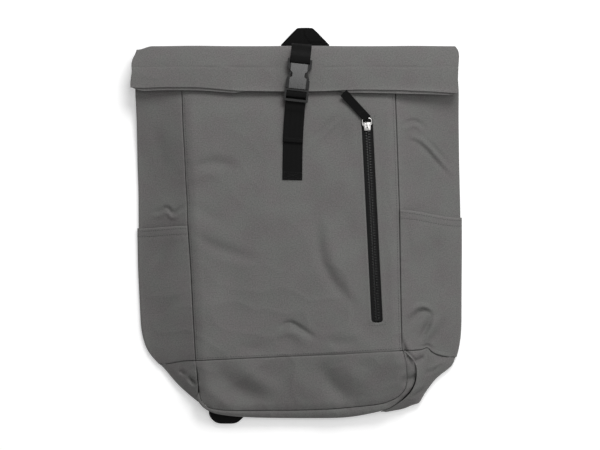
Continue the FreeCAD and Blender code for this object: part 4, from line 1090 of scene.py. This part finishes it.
inner_low = {
    "left": line([(195.3, 361.6), (196.6, 373), (198.2, 390), (197.6, 396), (199, 402)],
                 [36, 34, 26, 23, 20]),
    "right": line([(404.2, 352), (409, 356), (413.5, 360.5), (416.8, 366), (416.8, 377), (413, 388.6),
                   (405.2, 397.8), (392, 407), (381, 411.2)], [35, 33, 31, 28, 25, 21, 17, 14, 12]),
}
outer_edge = {
    "left": line([(158.5, 364.4), (163.5, 369), (171, 376.8), (179.6, 386), (188.2, 393.6),
                  (193.5, 397.9), (198.2, 401.6)], 7),
    "right": line([(456, 357.4), (453.6, 364.5), (448, 369.6), (440, 375.2), (434, 380.8), (429.2, 387),
                   (424.2, 394), (421.2, 399.8), (418.6, 403.4), (413, 404.6), (407.6, 407), (402, 409),
                   (395, 410.2), (386, 411.8)], 7),
}
for side, sign in SIDES.items():
    down = shares(64, 100, far=False)
    inner, outer = at_shares(inner_low[side], down), at_shares(outer_edge[side], down)
    z_in = np.interp(down, [0, 0.35, 0.7, 0.85, 1], [36, 33.5, 26, 20.5, 14.5])[:, None]
    z_fold = np.interp(down, [0, 1], [5, 10.6])[:, None]
    half = np.interp(down, [0, 0.8, 1], [2.0, 1.9, 1.2])[:, None]
    back_x = np.where(np.abs(outer[:, 0]) > 116, sign * 113.0, outer[:, 0] - sign * 4.0)
    back = np.column_stack([back_x, np.maximum(outer[:, 1] + 1.0, BACK_FOOT)])
    ss, t = np.meshgrid(S_LINE, down)
    top, behind = np.clip(ss, 0, 1), np.clip(ss - 2, 0, 1)
    turn = np.clip(ss - 1, 0, 1) * math.pi
    wide = np.linalg.norm(inner - outer, axis=1, keepdims=True)
    inward = (inner - outer) / np.maximum(wide, 1)
    rim_in = outer + inward * half
    xy_top = inner[:, None] * (1 - top[..., None]) + rim_in[:, None] * top[..., None]
    xy_round = rim_in[:, None] - inward[:, None] * (half * np.sin(turn))[..., None]
    xy_back = rim_in[:, None] * (1 - behind[..., None]) + back[:, None] * behind[..., None]
    z_top = z_in + (z_fold + half - z_in) * (1 - (1 - top) ** 1.3)
    z_top += relief(xy_top[..., 0], xy_top[..., 1]) * (1 - top**4) * ease(1 - t, 0.02, 0.3)
    z_back = (z_fold - half) * (1 - behind) + BACK_LOW * behind
    z = by_part(ss, z_top, z_fold + half * np.cos(turn), z_back)
    from_seam = seam_away(ss, np.maximum(wide, 3))
    z -= turned(from_seam, 1.9) + turned(t * 100, 1.8) * (ss < 1.5)
    marks = np.exp(-from_seam / 2.5) + np.exp(-t * 40) + rubbed(ss)
    grid = np.concatenate([by_part(ss[..., None], xy_top, xy_round, xy_back), z[..., None]], 2)
    meets = gusset_last[side] - [0, 0.3, 0]
    grid += (meets - grid[0])[None] * (1 - ease(down, 0, 0.45))[:, None, None]
    made = side_cloth(side, f"{side}_gusset_band_cloth", grid, marks)
    joined(made, "bag", f"{side}_gusset_band", slot="grey_cloth", material=canvas)

# ---------------------------------------------------------------- rolled mouth

profile = rounded([(221.5, 8.7), (224, 9.2), (225, 11.5), (225, 22), (225, 30.5), (223, 34.6), (218, 36.4),
                   (200, 41), (171, 42.5)], 3)
run = reach(profile)
left_end = side_rule([(136.2, 44), (136.2, 46.5), (135.4, 48.2), (133.2, 54.5), (131.2, 64), (131.8, 73),
                      (130.4, 84), (130.6, 94)], 38, 2)
right_end = side_rule([(455, 46.6), (457.9, 48), (459.5, 54), (458.4, 66.7), (457.8, 80), (457.6, 94)], 38, 2)
flap_edge = rule(line([(129, 87), (136, 88.2), (160, 87), (200, 87.3), (240, 91.2), (290, 91.6), (320, 91.4),
                       (355, 89.7), (400, 90.3), (440, 92), (460, 93.6)], 42), 8)
peek_at = line([(u, 90) for u in (129, 134, 140, 200, 236, 250, 335, 347, 400, 452, 460)], 42)[:, 0]
peek = rule(zip(peek_at, [-2, 1, 3.6, 3.6, 2.8, -1.5, -1.5, 3.4, 4.0, 2.6, -2]), 4)
FLAP_Y = 171
HEM_Y = 198.4
HEM_RUN = float(np.interp(-198.0, -profile[:, 1][30:], run[30:]))


def flap_grid(inset, from_run, inner):
    """The mouth's wall: up the nose, over it and forward to its edge."""
    t = np.concatenate([[from_run], np.linspace(from_run, run[-1], 58)[1:-1],
                        run[-1] - np.array([0.8, 0.3, 0])])
    t = np.unique(np.concatenate([t, HEM_RUN + np.array([-1.2, -0.8, -0.5, -0.2, 0.2, 0.5, 0.9, 1.4])]))
    py, pz = np.interp(t, run, profile[:, 0]), np.interp(t, run, profile[:, 1])
    s = shares(190, 408)
    grid = np.zeros((len(t), len(s), 3))
    for k, (a, b) in enumerate(zip(py, pz)):
        low, high = float(left_end(a)) + inset, float(right_end(a)) - inset
        xs = low + (high - low) * s
        share = np.clip((219 - a) / (219 - FLAP_Y), 0, 1)
        edge = flap_edge(xs) - (peek(xs) if inner else 0)
        drop = 4.0 * ease(np.abs(xs - 3), 118, 206) ** 1.2
        grid[k] = np.column_stack([xs, a + share * (edge - FLAP_Y), b - drop * ease(b, 12, 34)])
    grid[..., 1] -= 4.3 * ease(-180 - grid[..., 0], 0, 18) * ease(grid[..., 1], 205, 221)
    grid[..., 1] -= inset * np.gradient(pz, t)[:, None]
    grid[..., 2] += inset * np.gradient(py, t)[:, None]
    x, y = grid[..., 0], grid[..., 1]
    fore = ease(210 - y, 0, 12)
    hem = 0.6 * ease(HEM_Y - y, 0, 0.7) - 0.8 * np.exp(-(((y - HEM_Y) / 0.55) ** 2))
    wave = swells(x, y + 400, [(120, 0.7), (52, 0.45)]) + 0.7 * creased(x, y + 300, 34, 5.5)
    along = np.sin(x / 17 + 2 * np.sin(x / 41)) * ease(178 - y, 0, 8) * 0.5
    calm = 0.15 + 0.85 * ease(np.abs(x - 5), 18, 40)
    grid[..., 2] += ((wave * 0.8 + along) * fore + (0 if inner else hem)) * calm
    grid[..., 1] += 0.5 * np.sin(x / 23 + 1) * (1 - fore) * ease(grid[..., 2], 24, 32)
    return grid


grid = flap_grid(0.0, 0.0, False)
edge_rub = np.exp(-np.abs(grid[..., 1] - 170) / 2)
nose_rub = 0.25 * np.exp(-(((grid[..., 2] - 34) / 4) ** 2))
flap_outer = cloth("roll_outer_cloth", grid[::-1], wear=(edge_rub + nose_rub)[::-1])
flap_outer.data.materials.append(canvas)
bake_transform(flap_outer)
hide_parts("mouth_back_wall", "mouth_flap_outer")
rising = profile[:, 1] < 30
inner_grid = flap_grid(1.9, float(np.interp(24.0, profile[:, 1][rising], run[rising])), True)
flap_inner = cloth("roll_inner_cloth", inner_grid[::-1], wear=0.3)
joined(flap_inner, "roll_flap", "mouth_flap_inner", slot="grey_cloth", material=canvas)


def on_flap(points):
    """A line on the rolled mouth, by its nearest grid points."""
    flat = grid[20:].reshape(-1, 3)
    made = []
    for x, y in points:
        near = np.argsort((flat[:, 0] - x) ** 2 + (flat[:, 1] - y) ** 2)[:4]
        weight = 1 / (np.hypot(flat[near, 0] - x, flat[near, 1] - y) + 0.05)
        made.append((x, y, float((flat[near, 2] * weight).sum() / weight.sum()) + 0.12))
    return made


hem_left = [(x, 196.4) for x in np.linspace(-198, -14, 60)]
hem_right = [(x, 196.4) for x in np.linspace(24, 194, 56)]
end_line = [(-201.4, y) for y in np.linspace(201, 176, 12)]
stitches("roll_hem_stitches", [on_flap(hem_left), on_flap(hem_right), on_flap(end_line)], "roll_flap")

# ---------------------------------------------------------------- stitching on the front

BOX_LOW = ZIP_LONG + 3.2


def zip_run(aside):
    """A line beside the zip, from above its slot to below it."""
    return [ZIP_TOP + ZIP_WAY * a + ZIP_ASIDE * aside for a in np.linspace(-4.0, BOX_LOW, 70)]


low_end = [ZIP_TOP + ZIP_WAY * BOX_LOW + ZIP_ASIDE * a for a in np.linspace(9.0, -9.0, 9)]
seam_lines = [on_front(zip_run(10.0) + low_end + zip_run(-10.0)[::-1])]
for side, sign in SIDES.items():
    ys = np.linspace(160, -160, 120)
    seam_lines.append(on_front(np.column_stack([seam[side](ys) - sign * 3.4, ys])))
stitches("front_stitches", seam_lines, "bag")
band_line = at_shares(band_top, np.linspace(0.012, 0.988, 130)) + [0, 3.1]
stitches("band_stitches", [on_front(band_line)], "bag")

# ---------------------------------------------------------------- zip


def in_zip(points, up):
    """Points drawn along the zip, as (aside, back along it), at a height."""
    return [(*(ZIP_TOP + ZIP_ASIDE * a - ZIP_WAY * b), up) for a, b in points]


for side, sign in SIDES.items():
    asides = np.linspace(1.0, 16.5, 12)
    asides = asides if sign > 0 else -asides[::-1]
    grid_tape = []
    for b in np.linspace(2.2, -ZIP_LONG - 2.2, 130):
        wave = 0.12 * math.sin(b / 9.0 + sign)
        grid_tape.append([in_zip([(a, b)], 40.35 + wave * (abs(a) > 4))[0] for a in asides])
    made = cloth(f"zip_tape_{side}_cloth", np.array(grid_tape), thick=0.55)
    joined(made, "bag", f"zip_tape_{side}", slot="zip_tape", material=zip_cloth)


def one_tooth(tree):
    """A moulded tooth: a round head and a slanted foot."""
    made, join = tree.nodes.new, tree.links.new
    head = made("GeometryNodeMeshCylinder")
    for word, value in (("Vertices", 12), ("Radius", 0.5), ("Depth", 1.0)):
        head.inputs[word].default_value = value
    stand = made("GeometryNodeTransform")
    join(head.outputs["Mesh"], stand.inputs["Geometry"])
    stand.inputs["Rotation"].default_value = (math.pi / 2, 0, 0)
    foot = made("GeometryNodeMeshCube")
    foot.inputs["Size"].default_value = (1.2, 0.6, 0.5)
    slanted = made("GeometryNodeTransform")
    join(foot.outputs["Mesh"], slanted.inputs["Geometry"])
    slanted.inputs["Translation"].default_value = (0.9, 0.25, 0)
    slanted.inputs["Rotation"].default_value = (0, 0, 0.4)
    tooth = made("GeometryNodeJoinGeometry")
    join(stand.outputs[0], tooth.inputs[0])
    join(slanted.outputs[0], tooth.inputs[0])
    return tooth.outputs[0]


TOOTH_ROW = row_tree("zip_teeth_row", "Row line", {"Pitch": 0.00344, "Head across": 0.0016,
                                                   "Head along": 0.0016, "Tooth height": 0.0024},
                     ("Head across", "Tooth height", "Head along"), "Tooth finish", "Teeth", one_tooth)
for side, sign in SIDES.items():
    start = -2.9 if sign < 0 else -4.62
    row = in_zip([(sign * 1.45, b) for b in np.linspace(start, start - 71 * 3.42, 60)], 40.8)
    row = row[::-1] if sign > 0 else row
    values = {"Pitch": 0.0034, "Head across": 0.0016, "Head along": 0.0016, "Tooth height": 0.0024,
              "Tooth finish": tooth_plastic}
    made = grown(f"zip_teeth_{side}_row", [row], TOOTH_ROW, values)
    joined(made, "bag", f"zip_teeth_{side}", slot="zip_teeth")
for node in ("zip_top_stops", "zip_bottom_stop"):
    made = moulded(f"{node}_moulded", node, 0.6, 0.3)
    joined(made, "bag", node, slot="zip_teeth", material=stop_plastic)
slider = moulded("zip_slider_cast", "zip_slider", 0.8, 0.3, flats=False)
joined(slider, "zip_slider", "zip_slider", slot="nickel", material=nickel)


def wire(name, path, thick, around=10):
    """A closed ring of round wire through points in mm."""
    path = np.array(path, float)
    way = np.roll(path, -1, 0) - np.roll(path, 1, 0)
    way /= np.linalg.norm(way, axis=1, keepdims=True)
    up = np.array([0, 0, 1.0])
    side = np.cross(way, up)
    corners = []
    for k in range(len(path)):
        for j in range(around):
            turn = math.tau * j / around
            corners.append(path[k] + (side[k] * math.cos(turn) + up * math.sin(turn)) * thick / 2)
    made = piece(name, corners, tube(len(path), around, True), [(p[0], p[1]) for p in corners])
    outward(made)
    return made


ring_low, ring_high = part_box("pull_ring")
ring_up = (ring_low[2] + ring_high[2]) * 500
near, far = -6.95, 1.75
corner = [(-5.2, near), (5.2, near), (5.85, near + 2.4), (5.85, far - 2.4), (4.0, far), (-4.0, far),
          (-5.85, far - 2.4), (-5.85, near + 2.4)]
ring = wire("pull_ring_wire", in_zip(closed_round(corner, 3), ring_up), 1.25)
joined(ring, "pull_ring", "pull_ring", slot="nickel", material=nickel)
tape_way = math.radians(90 + 39.8 + ZIP_LEAN)
hook = np.array(in_zip([(0, far)], ring_up)[0])
ahead_way = np.array([math.cos(tape_way), math.sin(tape_way), 0])
side_way = np.array([-ahead_way[1], ahead_way[0], 0])


def pull_point(along, up):
    """A point of the pull tape, along it from the ring."""
    return hook + ahead_way * along + [0, 0, up]


tape = ribbon("pull_tape_ribbon", [pull_point(a, b) for a, b in (
    (42.6, -0.48), (20, -0.46), (6, -0.5), (2.2, -1.0), (-0.4, -1.3), (-1.5, 0), (-0.4, 1.3), (2.2, 1.0),
    (6, 0.5), (20, 0.5), (43.0, 0.52))], 10.5, 0.85, tape_way - math.pi / 2, step=1.2)
joined(tape, "pull_tape", "pull_tape", slot="webbing", material=pull_cloth)
cross = ((9, -3.6), (13, 3.6), (13, -3.6), (9, 3.6), (9, -3.6))
box_x = [pull_point(a, 0.98) + side_way * b for a, b in cross]
stitches("pull_tape_stitches", [box_x], "pull_tape", black_thread, 1.6, 1.2, 0.35)

# ---------------------------------------------------------------- buckle and its straps

FACE_HALF = 10.4


def by_buckle(points, aside=0.0):
    """Points drawn along the buckle, as (along, up)."""
    c, s = BUCKLE_COS, BUCKLE_SIN
    return [(BUCKLE[0] + aside * c - a * s, BUCKLE[1] + aside * s + a * c, BUCKLE[2] + up)
            for a, up in points]


def buckle_share(place):
    """Where a place in metres lies by the buckle: along it and across it, in mm."""
    x, y = place[0] * 1000 - BUCKLE[0], place[1] * 1000 - BUCKLE[1]
    return y * BUCKLE_COS - x * BUCKLE_SIN, x * BUCKLE_COS + y * BUCKLE_SIN


def crowned(work):
    """Falls the plate's top a little towards the mouth of the buckle."""
    c, s = BUCKLE_COS, BUCKLE_SIN
    middle = BUCKLE[:2] * 0.001
    for along in np.arange(-3.0, 32.0, 2.5):
        at = (middle[0] - s * along * 0.001, middle[1] + c * along * 0.001, 0)
        cut_along(work, at, (-s, c, 0))
    for across in (-FACE_HALF, FACE_HALF):
        at = (middle[0] + c * across * 0.001, middle[1] + s * across * 0.001, 0)
        cut_along(work, at, (c, s, 0))
    high = max(v.co.z for v in work.verts)
    for corner in work.verts:
        along, _ = buckle_share(corner.co)
        if corner.co.z > high - 0.0012:
            corner.co.z -= 0.0009 * min(max((30 - along) / 30, 0), 1.1) ** 2


# The frame, arms and locks take the darker copy of the plastic, which is painted shade rather than a colour
# of their own.
for node, body, corner, edge, made_of in (
    ("buckle_female", "roll_flap", 1.6, 0.7, plastic),
    ("buckle_male", "buckle_male", 0.9, 0.8, shaded_copy_plastic),
    ("latch_arm_left", "latch_left", 0.5, 0.7, shaded_copy_plastic),
    ("latch_arm_right", "latch_right", 0.5, 0.7, shaded_copy_plastic),
    ("ladder_lock_left", "left_adjuster", 1.2, 0.5, shaded_copy_plastic),
    ("ladder_lock_right", "right_adjuster", 1.2, 0.5, shaded_copy_plastic),
):
    crown = crowned if node == "buckle_female" else None
    made = moulded(f"{node}_moulded", node, corner, edge, crown=crown)
    joined(made, body, node, slot="buckle_plastic", material=made_of)
    if node == "buckle_female":
        # The plate's upward faces keep the painted-light copy and all its other faces take the painted-shade
        # copy.
        made.data.materials.append(shaded_copy_plastic)
        for face in made.data.polygons:
            along, across = buckle_share(face.center)
            shown = face.normal.z > 0.9 and abs(across) < FACE_HALF and along < 31.6
            face.material_index = 0 if shown else 1

round_bar = by_buckle([(-24, 0.35), (-10, 0.35), (-4.2, 0.35), (-3.4, 1.1), (-3.4, 7.4), (-4.2, 8.2),
                       (-8.8, 8.2), (-9.9, 7.2), (-9.9, 2.8), (-10.8, 1.95)])
for along, up, aside in ((-24, 1.95, 0), (-29.5, 0.6, 0.1), (-45, 0.45, 0.7), (-66.4, 0.45, 1.9)):
    round_bar += by_buckle([(along, up)], aside)
loop = ribbon("strap_loop_webbing", round_bar, 25, 1.15,
              [BUCKLE_TURN] * 6 + [BUCKLE_TURN + 0.03, BUCKLE_TURN + 0.045])
joined(loop, "buckle_male", "strap_loop", slot="webbing", material=webbing)
hem_path = by_buckle([(-66.2, 1.6), (-61, 1.6), (-59.6, 1.45)], 1.75)
hem_fold = ribbon("strap_tail_hem", hem_path, 24.6, 1.0, BUCKLE_TURN + 0.04, 1)
joined(hem_fold, "buckle_male", slot="webbing", material=webbing)
hem_rows = [[by_buckle([(-61.8, 2.12)], a + 1.7)[0] for a in np.linspace(-11.5, 11.5, 16)]]
stitches("strap_tail_stitches", hem_rows, "buckle_male", black_thread, 1.8, 1.4, 0.4)
over_nose = by_buckle([(47, -3.0), (42.2, 0.6), (38.5, 1.1), (33.2, 1.1), (32.5, 1.9), (32.5, 7.0),
                       (33.3, 7.75), (39.6, 7.75), (43.5, 3.6), (48.3, -4.2), (55.2, -9.6), (57.0, -13.0)])
root_x = 1.25 + 54.4 * math.tan(-BUCKLE_TURN)
down_nose = ((228.1, 28), (227.4, 22), (226.9, 12), (226.4, 8.4), (224, 7.6), (196, 7.6))
root = [(root_x, y, z) for y, z in down_nose]
top = ribbon("top_strap_webbing", over_nose + root, 25, 1.3, [BUCKLE_TURN] * 6 + [0.0] * 5)
top.data.materials.append(webbing)
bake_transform(top)
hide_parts("top_strap", "top_strap_root")


def laid_on_front(centre):
    """Lays a strap on the front cloth."""
    made = centre.copy()
    made[:, 2] = front_top(centre[:, 0], centre[:, 1]) + 0.85
    return made


way = np.array([-math.sin(STRAP_TURN), math.cos(STRAP_TURN)])
aside = np.array([way[1], -way[0]])
start = np.array([-4.6, 58.0])
strap_path = [(-4.6, 58, 43), (-4.4, 80, 43), (-3.9, 104, 43), (-2.8, 125, 43), (-1.2, 147.5, 43)]
strap = ribbon("front_strap_webbing", strap_path, 24.8, 1.35,
               [STRAP_TURN + 0.03, STRAP_TURN, STRAP_TURN, BUCKLE_TURN], fit=laid_on_front)
joined(strap, "bag", "front_strap", slot="webbing", material=webbing)


def on_strap(along, across):
    """A point on the sewn strap."""
    x, y = start + way * along + aside * across
    return x, y, float(front_top(np.array([x]), np.array([y]))[0]) + 1.62


NEAR_ROW, FAR_ROW, ROW_HALF = 1.8, 9.6, 10.8
tack_lines = [[on_strap(a, b) for b in np.linspace(-ROW_HALF, ROW_HALF, 12)] for a in (NEAR_ROW, FAR_ROW)]
tack_lines += [[on_strap(a, b) for a in np.linspace(NEAR_ROW, FAR_ROW, 6)] for b in (-ROW_HALF, ROW_HALF)]
for sign in (-1, 1):
    ends = [(NEAR_ROW + 7.8 * k, sign * (ROW_HALF - 21.6 * k)) for k in np.linspace(0, 1, 10)]
    tack_lines.append([on_strap(a, b) for a, b in ends])
tack = stitches("strap_bartack_stitches", tack_lines, "bag", black_thread, 1.5, 1.6, 0.5)
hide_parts("strap_bartack")

# ---------------------------------------------------------------- haul loop

loop_plan = [(-18, 196), (-2, 196), (-2, 204), (5, 216), (7.5, 219), (14.5, 219), (17, 216), (24, 204),
             (24, 196), (40, 196), (40.2, 222), (41.9, 228.9), (41.7, 229.3), (22.6, 249.0), (19.6, 250.5),
             (3.2, 250.5), (0.2, 249.2), (-18.7, 229.3), (-18.9, 228.9), (-18.2, 222)]
loop_cuts = [200, 208, 219, 223, 226, 227.6, 228.7, 229.8, 231.4, 236, 243]
haul = plate("haul_loop_webbing", loop_plan, 4.0, 5.3, 0.3, 1, loop_cuts)
haul.data.materials.append(webbing)
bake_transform(haul)
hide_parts("haul_loop", "haul_loop_legs")
leg_plan = [(17.5, 232.4), (38.4, 232.4), (22.4, 248.2), (19, 249.9), (8.0, 246.0)]
leg_over = plate("haul_loop_leg", leg_plan, 5.3, 6.2, 0.3, 1)
joined(leg_over, "haul_loop", slot="webbing", material=webbing)

# ---------------------------------------------------------------- back, lining and sleeve


def level(name, corners, up, wave, thick, edge=1.2, channel=None):
    """A flat cloth in plan between four corners (left low, right low, right top, left top)."""
    a, b, c, d = (np.array(k, float) for k in corners)
    across, down = shares(60, 200), shares(110, 400)
    s, t = across[None, :, None], down[:, None, None]
    plan = (d * (1 - s) + c * s) * (1 - t) + (a * (1 - s) + b * s) * t
    x, y = plan[..., 0], plan[..., 1]
    z = up + wave * swells(x, y + 900, [(110, 0.5), (45, 0.3)])
    from_sides = np.minimum(s[..., 0], 1 - s[..., 0]) * 200
    from_ends = np.minimum(t[..., 0], 1 - t[..., 0]) * 400
    z = z - turned(np.minimum(from_sides, from_ends), edge * 0.5, 1.05)
    if channel is not None:
        z = z + channel(x, y)
    return cloth(name, np.stack([x, y, z], 2), thick=thick, wear=0.2)


def quilted(x, y):
    """Sewn channels across the back panel."""
    line_y = np.abs((y + 300) % 62 - 31)
    return 0.5 * np.exp(-((line_y / 2.2) ** 2)) * ease(100 - np.abs(x), 0, 6)


back_plan = [(-112, -229), (114, -229), (128, 222), (-133.8, 222)]
lining_plan = [(-102.7, -215), (104.5, -215), (117.4, 205), (-122.8, 205)]
sleeve_plan = [(-108, -205), (108, -205), (108, 70), (-108, 70)]
bag_plan = in_zip([(-78, -ZIP_LONG - 9), (19, -ZIP_LONG - 9), (19, 9), (-78, 9)], 0)
made = level("back_panel_mesh", back_plan, 9.75, 0.0, 1.1, channel=quilted)
joined(made, "bag", "back_panel", slot="back_cloth", material=back_mesh)
made = level("back_lining_cloth", lining_plan, 17.2, 0.15, 0.7)
joined(made, "bag", "back_lining", slot="lining_cloth", material=lining_cloth)
foam = level("back_foam_sheet", lining_plan, 15.9, 0.0, 5.6, edge=1.0)
joined(foam, "bag", "back_foam", slot="foam", material=foam_finish)
made = level("laptop_sleeve_cloth", sleeve_plan, 24.3, 0.35, 0.8, edge=1.6)
joined(made, "bag", "laptop_sleeve", slot="lining_cloth", material=lining_cloth)
made = level("zip_pocket_lining", [p[:2] for p in bag_plan], 34.9, 0.5, 0.6, edge=1.0)
joined(made, "bag", "zip_pocket_bag", slot="lining_cloth", material=lining_cloth)

# ---------------------------------------------------------------- shoulder straps and their webbing

PAD_TOP = [(-1, 0), (-0.96, 0.7), (-0.6, 1), (0, 1), (0.6, 1), (0.96, 0.7)]
PAD_RING = PAD_TOP + [(-a, -b) for a, b in PAD_TOP]
PAD_HIGH = 0.0079


def padded_strap(side, top, end):
    """A padded strap: drawn small, filled by the cloth's own pressure, then made finer."""
    path = rounded([(top, 184), (top + (end - top) * 0.2, 130), (top + (end - top) * 0.6, 20), (end, -60),
                    (end, -108)], 2)
    run = reach(path)
    work = bmesh.new()
    rings = []
    for t in np.linspace(0, 1, 60):
        x, y = (np.interp(t * run[-1], run, path[:, k]) for k in (0, 1))
        half = np.interp(t, [0, 0.06, 0.5, 0.85, 0.97, 1], [26, 28.5, 27.5, 23, 20, 15])
        places = [((x + a * half) * 0.001, y * 0.001, (4.0 + b * 2.5) * 0.001) for a, b in PAD_RING]
        rings.append([work.verts.new(place) for place in places])
    for a, b in zip(rings[:-1], rings[1:]):
        for j in range(12):
            work.faces.new((a[j], a[(j + 1) % 12], b[(j + 1) % 12], b[j]))
    work.faces.new(rings[0])
    work.faces.new(list(reversed(rings[-1])))
    bmesh.ops.recalc_face_normals(work, faces=work.faces)
    made = from_work(f"shoulder_strap_{side}_pad", work)
    start = places_of(made.data)
    air = made.modifiers.new("fill", "CLOTH")
    air.settings.use_pressure = True
    air.settings.uniform_pressure_force = 4.0
    air.settings.effector_weights.gravity = 0.0
    air.settings.tension_stiffness = 30
    scene = bpy.context.scene
    for k in range(1, 15):
        scene.frame_set(k)
    plain(made)
    scene.frame_set(1)
    moved = places_of(made.data) - start
    size = np.maximum(np.linalg.norm(moved, axis=1, keepdims=True), 1e-9)
    now = start + moved * np.minimum(1, 0.0016 / size)
    now[:, 2] = np.clip(now[:, 2], 0.0004, PAD_HIGH)
    made.data.vertices.foreach_set("co", now.ravel())
    smooth = made.modifiers.new("finer", "SUBSURF")
    smooth.levels = smooth.render_levels = 2
    plain(made)
    points = places_of(made.data)
    points[:, 2] = np.clip(points[:, 2], 0.0003, PAD_HIGH)
    made.data.vertices.foreach_set("co", points.ravel())
    x, y, z = places_of(made.data).T
    lay(made.data, np.stack([x + z, y], 1))
    smoothed(made.data)
    return made


tail_path = ((-146, 5.85), (-132, 5.85), (-128.6, 5.6), (-128, 4.9), (-128, 2.6), (-128.8, 1.6), (-132, 1.4),
             (-184, 1.4))
keeper_path = ((-111, 1.55), (-122, 1.45), (-124.9, 1.6), (-125.5, 2.4), (-125.5, 4.6), (-124.9, 5.5),
               (-122, 5.7), (-111, 5.5))
run_path = ((-215, 7.5), (-180, 7.5), (-150, 7.5), (-118, 7.5))
for side, top_x, end_x in (("left", -47.0, -87.0), ("right", 69.0, 93.0)):
    made = padded_strap(side, top_x, end_x)
    joined(made, "bag", f"shoulder_strap_{side}", slot="back_cloth", material=back_mesh)
    for name, node, body, path, thick in (
        (f"strap_tail_{side}_webbing", f"strap_tail_{side}", f"{side}_adjuster", tail_path, 1.1),
        (f"lock_keeper_{side}_webbing", f"lock_keeper_{side}", f"{side}_adjuster", keeper_path, 1.1),
        (f"strap_webbing_{side}_run", f"strap_webbing_{side}", "bag", run_path, 1.3),
    ):
        made = ribbon(name, [(end_x, y, z) for y, z in path], 25, thick)
        joined(made, body, node, slot="webbing", material=webbing)
tab_plan = {
    "left": [(-110, -215), (-110, -234), (-109, -238.5), (-105, -244), (-99, -248), (-87, -248.4),
             (-76, -248.0), (-70, -244), (-64.5, -238), (-64, -231), (-64, -215)],
    "right": [(70, -215), (70, -225), (74, -230.5), (84, -232.6), (95, -231.6), (106, -229), (113, -225),
              (116, -215)],
}
for side in SIDES:
    made = plate(f"anchor_tab_{side}_cloth", tab_plan[side], 6.8, 8.2, 0.35)
    joined(made, "bag", f"anchor_tab_{side}", slot="webbing", material=webbing)

# ---------------------------------------------------------------- floor, light and camera

WHITE = (1, 1, 1, 1)
floor_mesh = bpy.data.meshes.new("floor")
floor_mesh.from_pydata([(-6, -6, 0), (6, -6, 0), (6, 6, 0), (-6, 6, 0)], [], [(0, 1, 2, 3)])
floor = linked("floor", floor_mesh)


def showing(tree):
    """1 for the rays that show the background: the camera's and those off shiny or clear pieces."""
    rays = add(tree, "LightPath").outputs
    clear = math_of(tree, "MAXIMUM", rays["Is Glossy Ray"], rays["Is Transmission Ray"])
    return math_of(tree, "MAXIMUM", rays["Is Camera Ray"], clear)


def either(tree, lit, shown):
    """One shader for the light, another for the rays that show the background."""
    feeds = {0: showing(tree), 1: lit.outputs[0], 2: shown.outputs[0]}
    return add(tree, "MixShader", None, feeds).outputs[0]


paper = bpy.data.materials.new("white_paper")
paper.use_nodes = True
tree = paper.node_tree
tree.nodes.clear()
surface = add(tree, "BsdfDiffuse", None, {"Color": (0.86, 0.86, 0.86, 1)})
glow = add(tree, "Emission", None, {"Color": WHITE, "Strength": 0.34})
glowing = add(tree, "AddShader", None, {0: surface.outputs[0], 1: glow.outputs[0]})
tree.links.new(either(tree, surface, glowing), tree.nodes.new("ShaderNodeOutputMaterial").inputs[0])
floor_mesh.materials.append(paper)

world = bpy.data.worlds.new("studio")
bpy.context.scene.world = world
world.use_nodes = True
tree = world.node_tree
sky = tree.nodes["Background"]
sky.inputs["Color"].default_value = WHITE
sky.inputs["Strength"].default_value = 0.28
white = add(tree, "Background", None, {"Color": WHITE, "Strength": 1.0})
tree.links.new(either(tree, sky, white), tree.nodes["World Output"].inputs["Surface"])


def lamp(name, place, size, power):
    """A soft square lamp that looks at the pack."""
    light = bpy.data.lights.new(name, "AREA")
    light.shape, light.size, light.energy = "SQUARE", size, power
    made = linked(name, light)
    made.location = place
    made.rotation_euler = (Vector((0, 0, 0)) - Vector(place)).to_track_quat("-Z", "Y").to_euler()


lamp("key_lamp", (0.4, 1.35, 1.6), 0.8, 25)
lamp("side_lamp", (1.9, 0.3, 2.0), 2.6, 21)
lamp("overhead_lamp", (0.3, 0.5, 3.3), 1.1, 14)

camera = bpy.data.cameras.new("camera")
camera.lens, camera.sensor_width = 144.0, 36.0
camera.clip_end = 100
eye = linked("camera", camera)
eye.location = tuple(k * 0.001 for k in EYE)
bpy.context.scene.camera = eye
bpy.context.scene.view_settings.view_transform = "Standard"
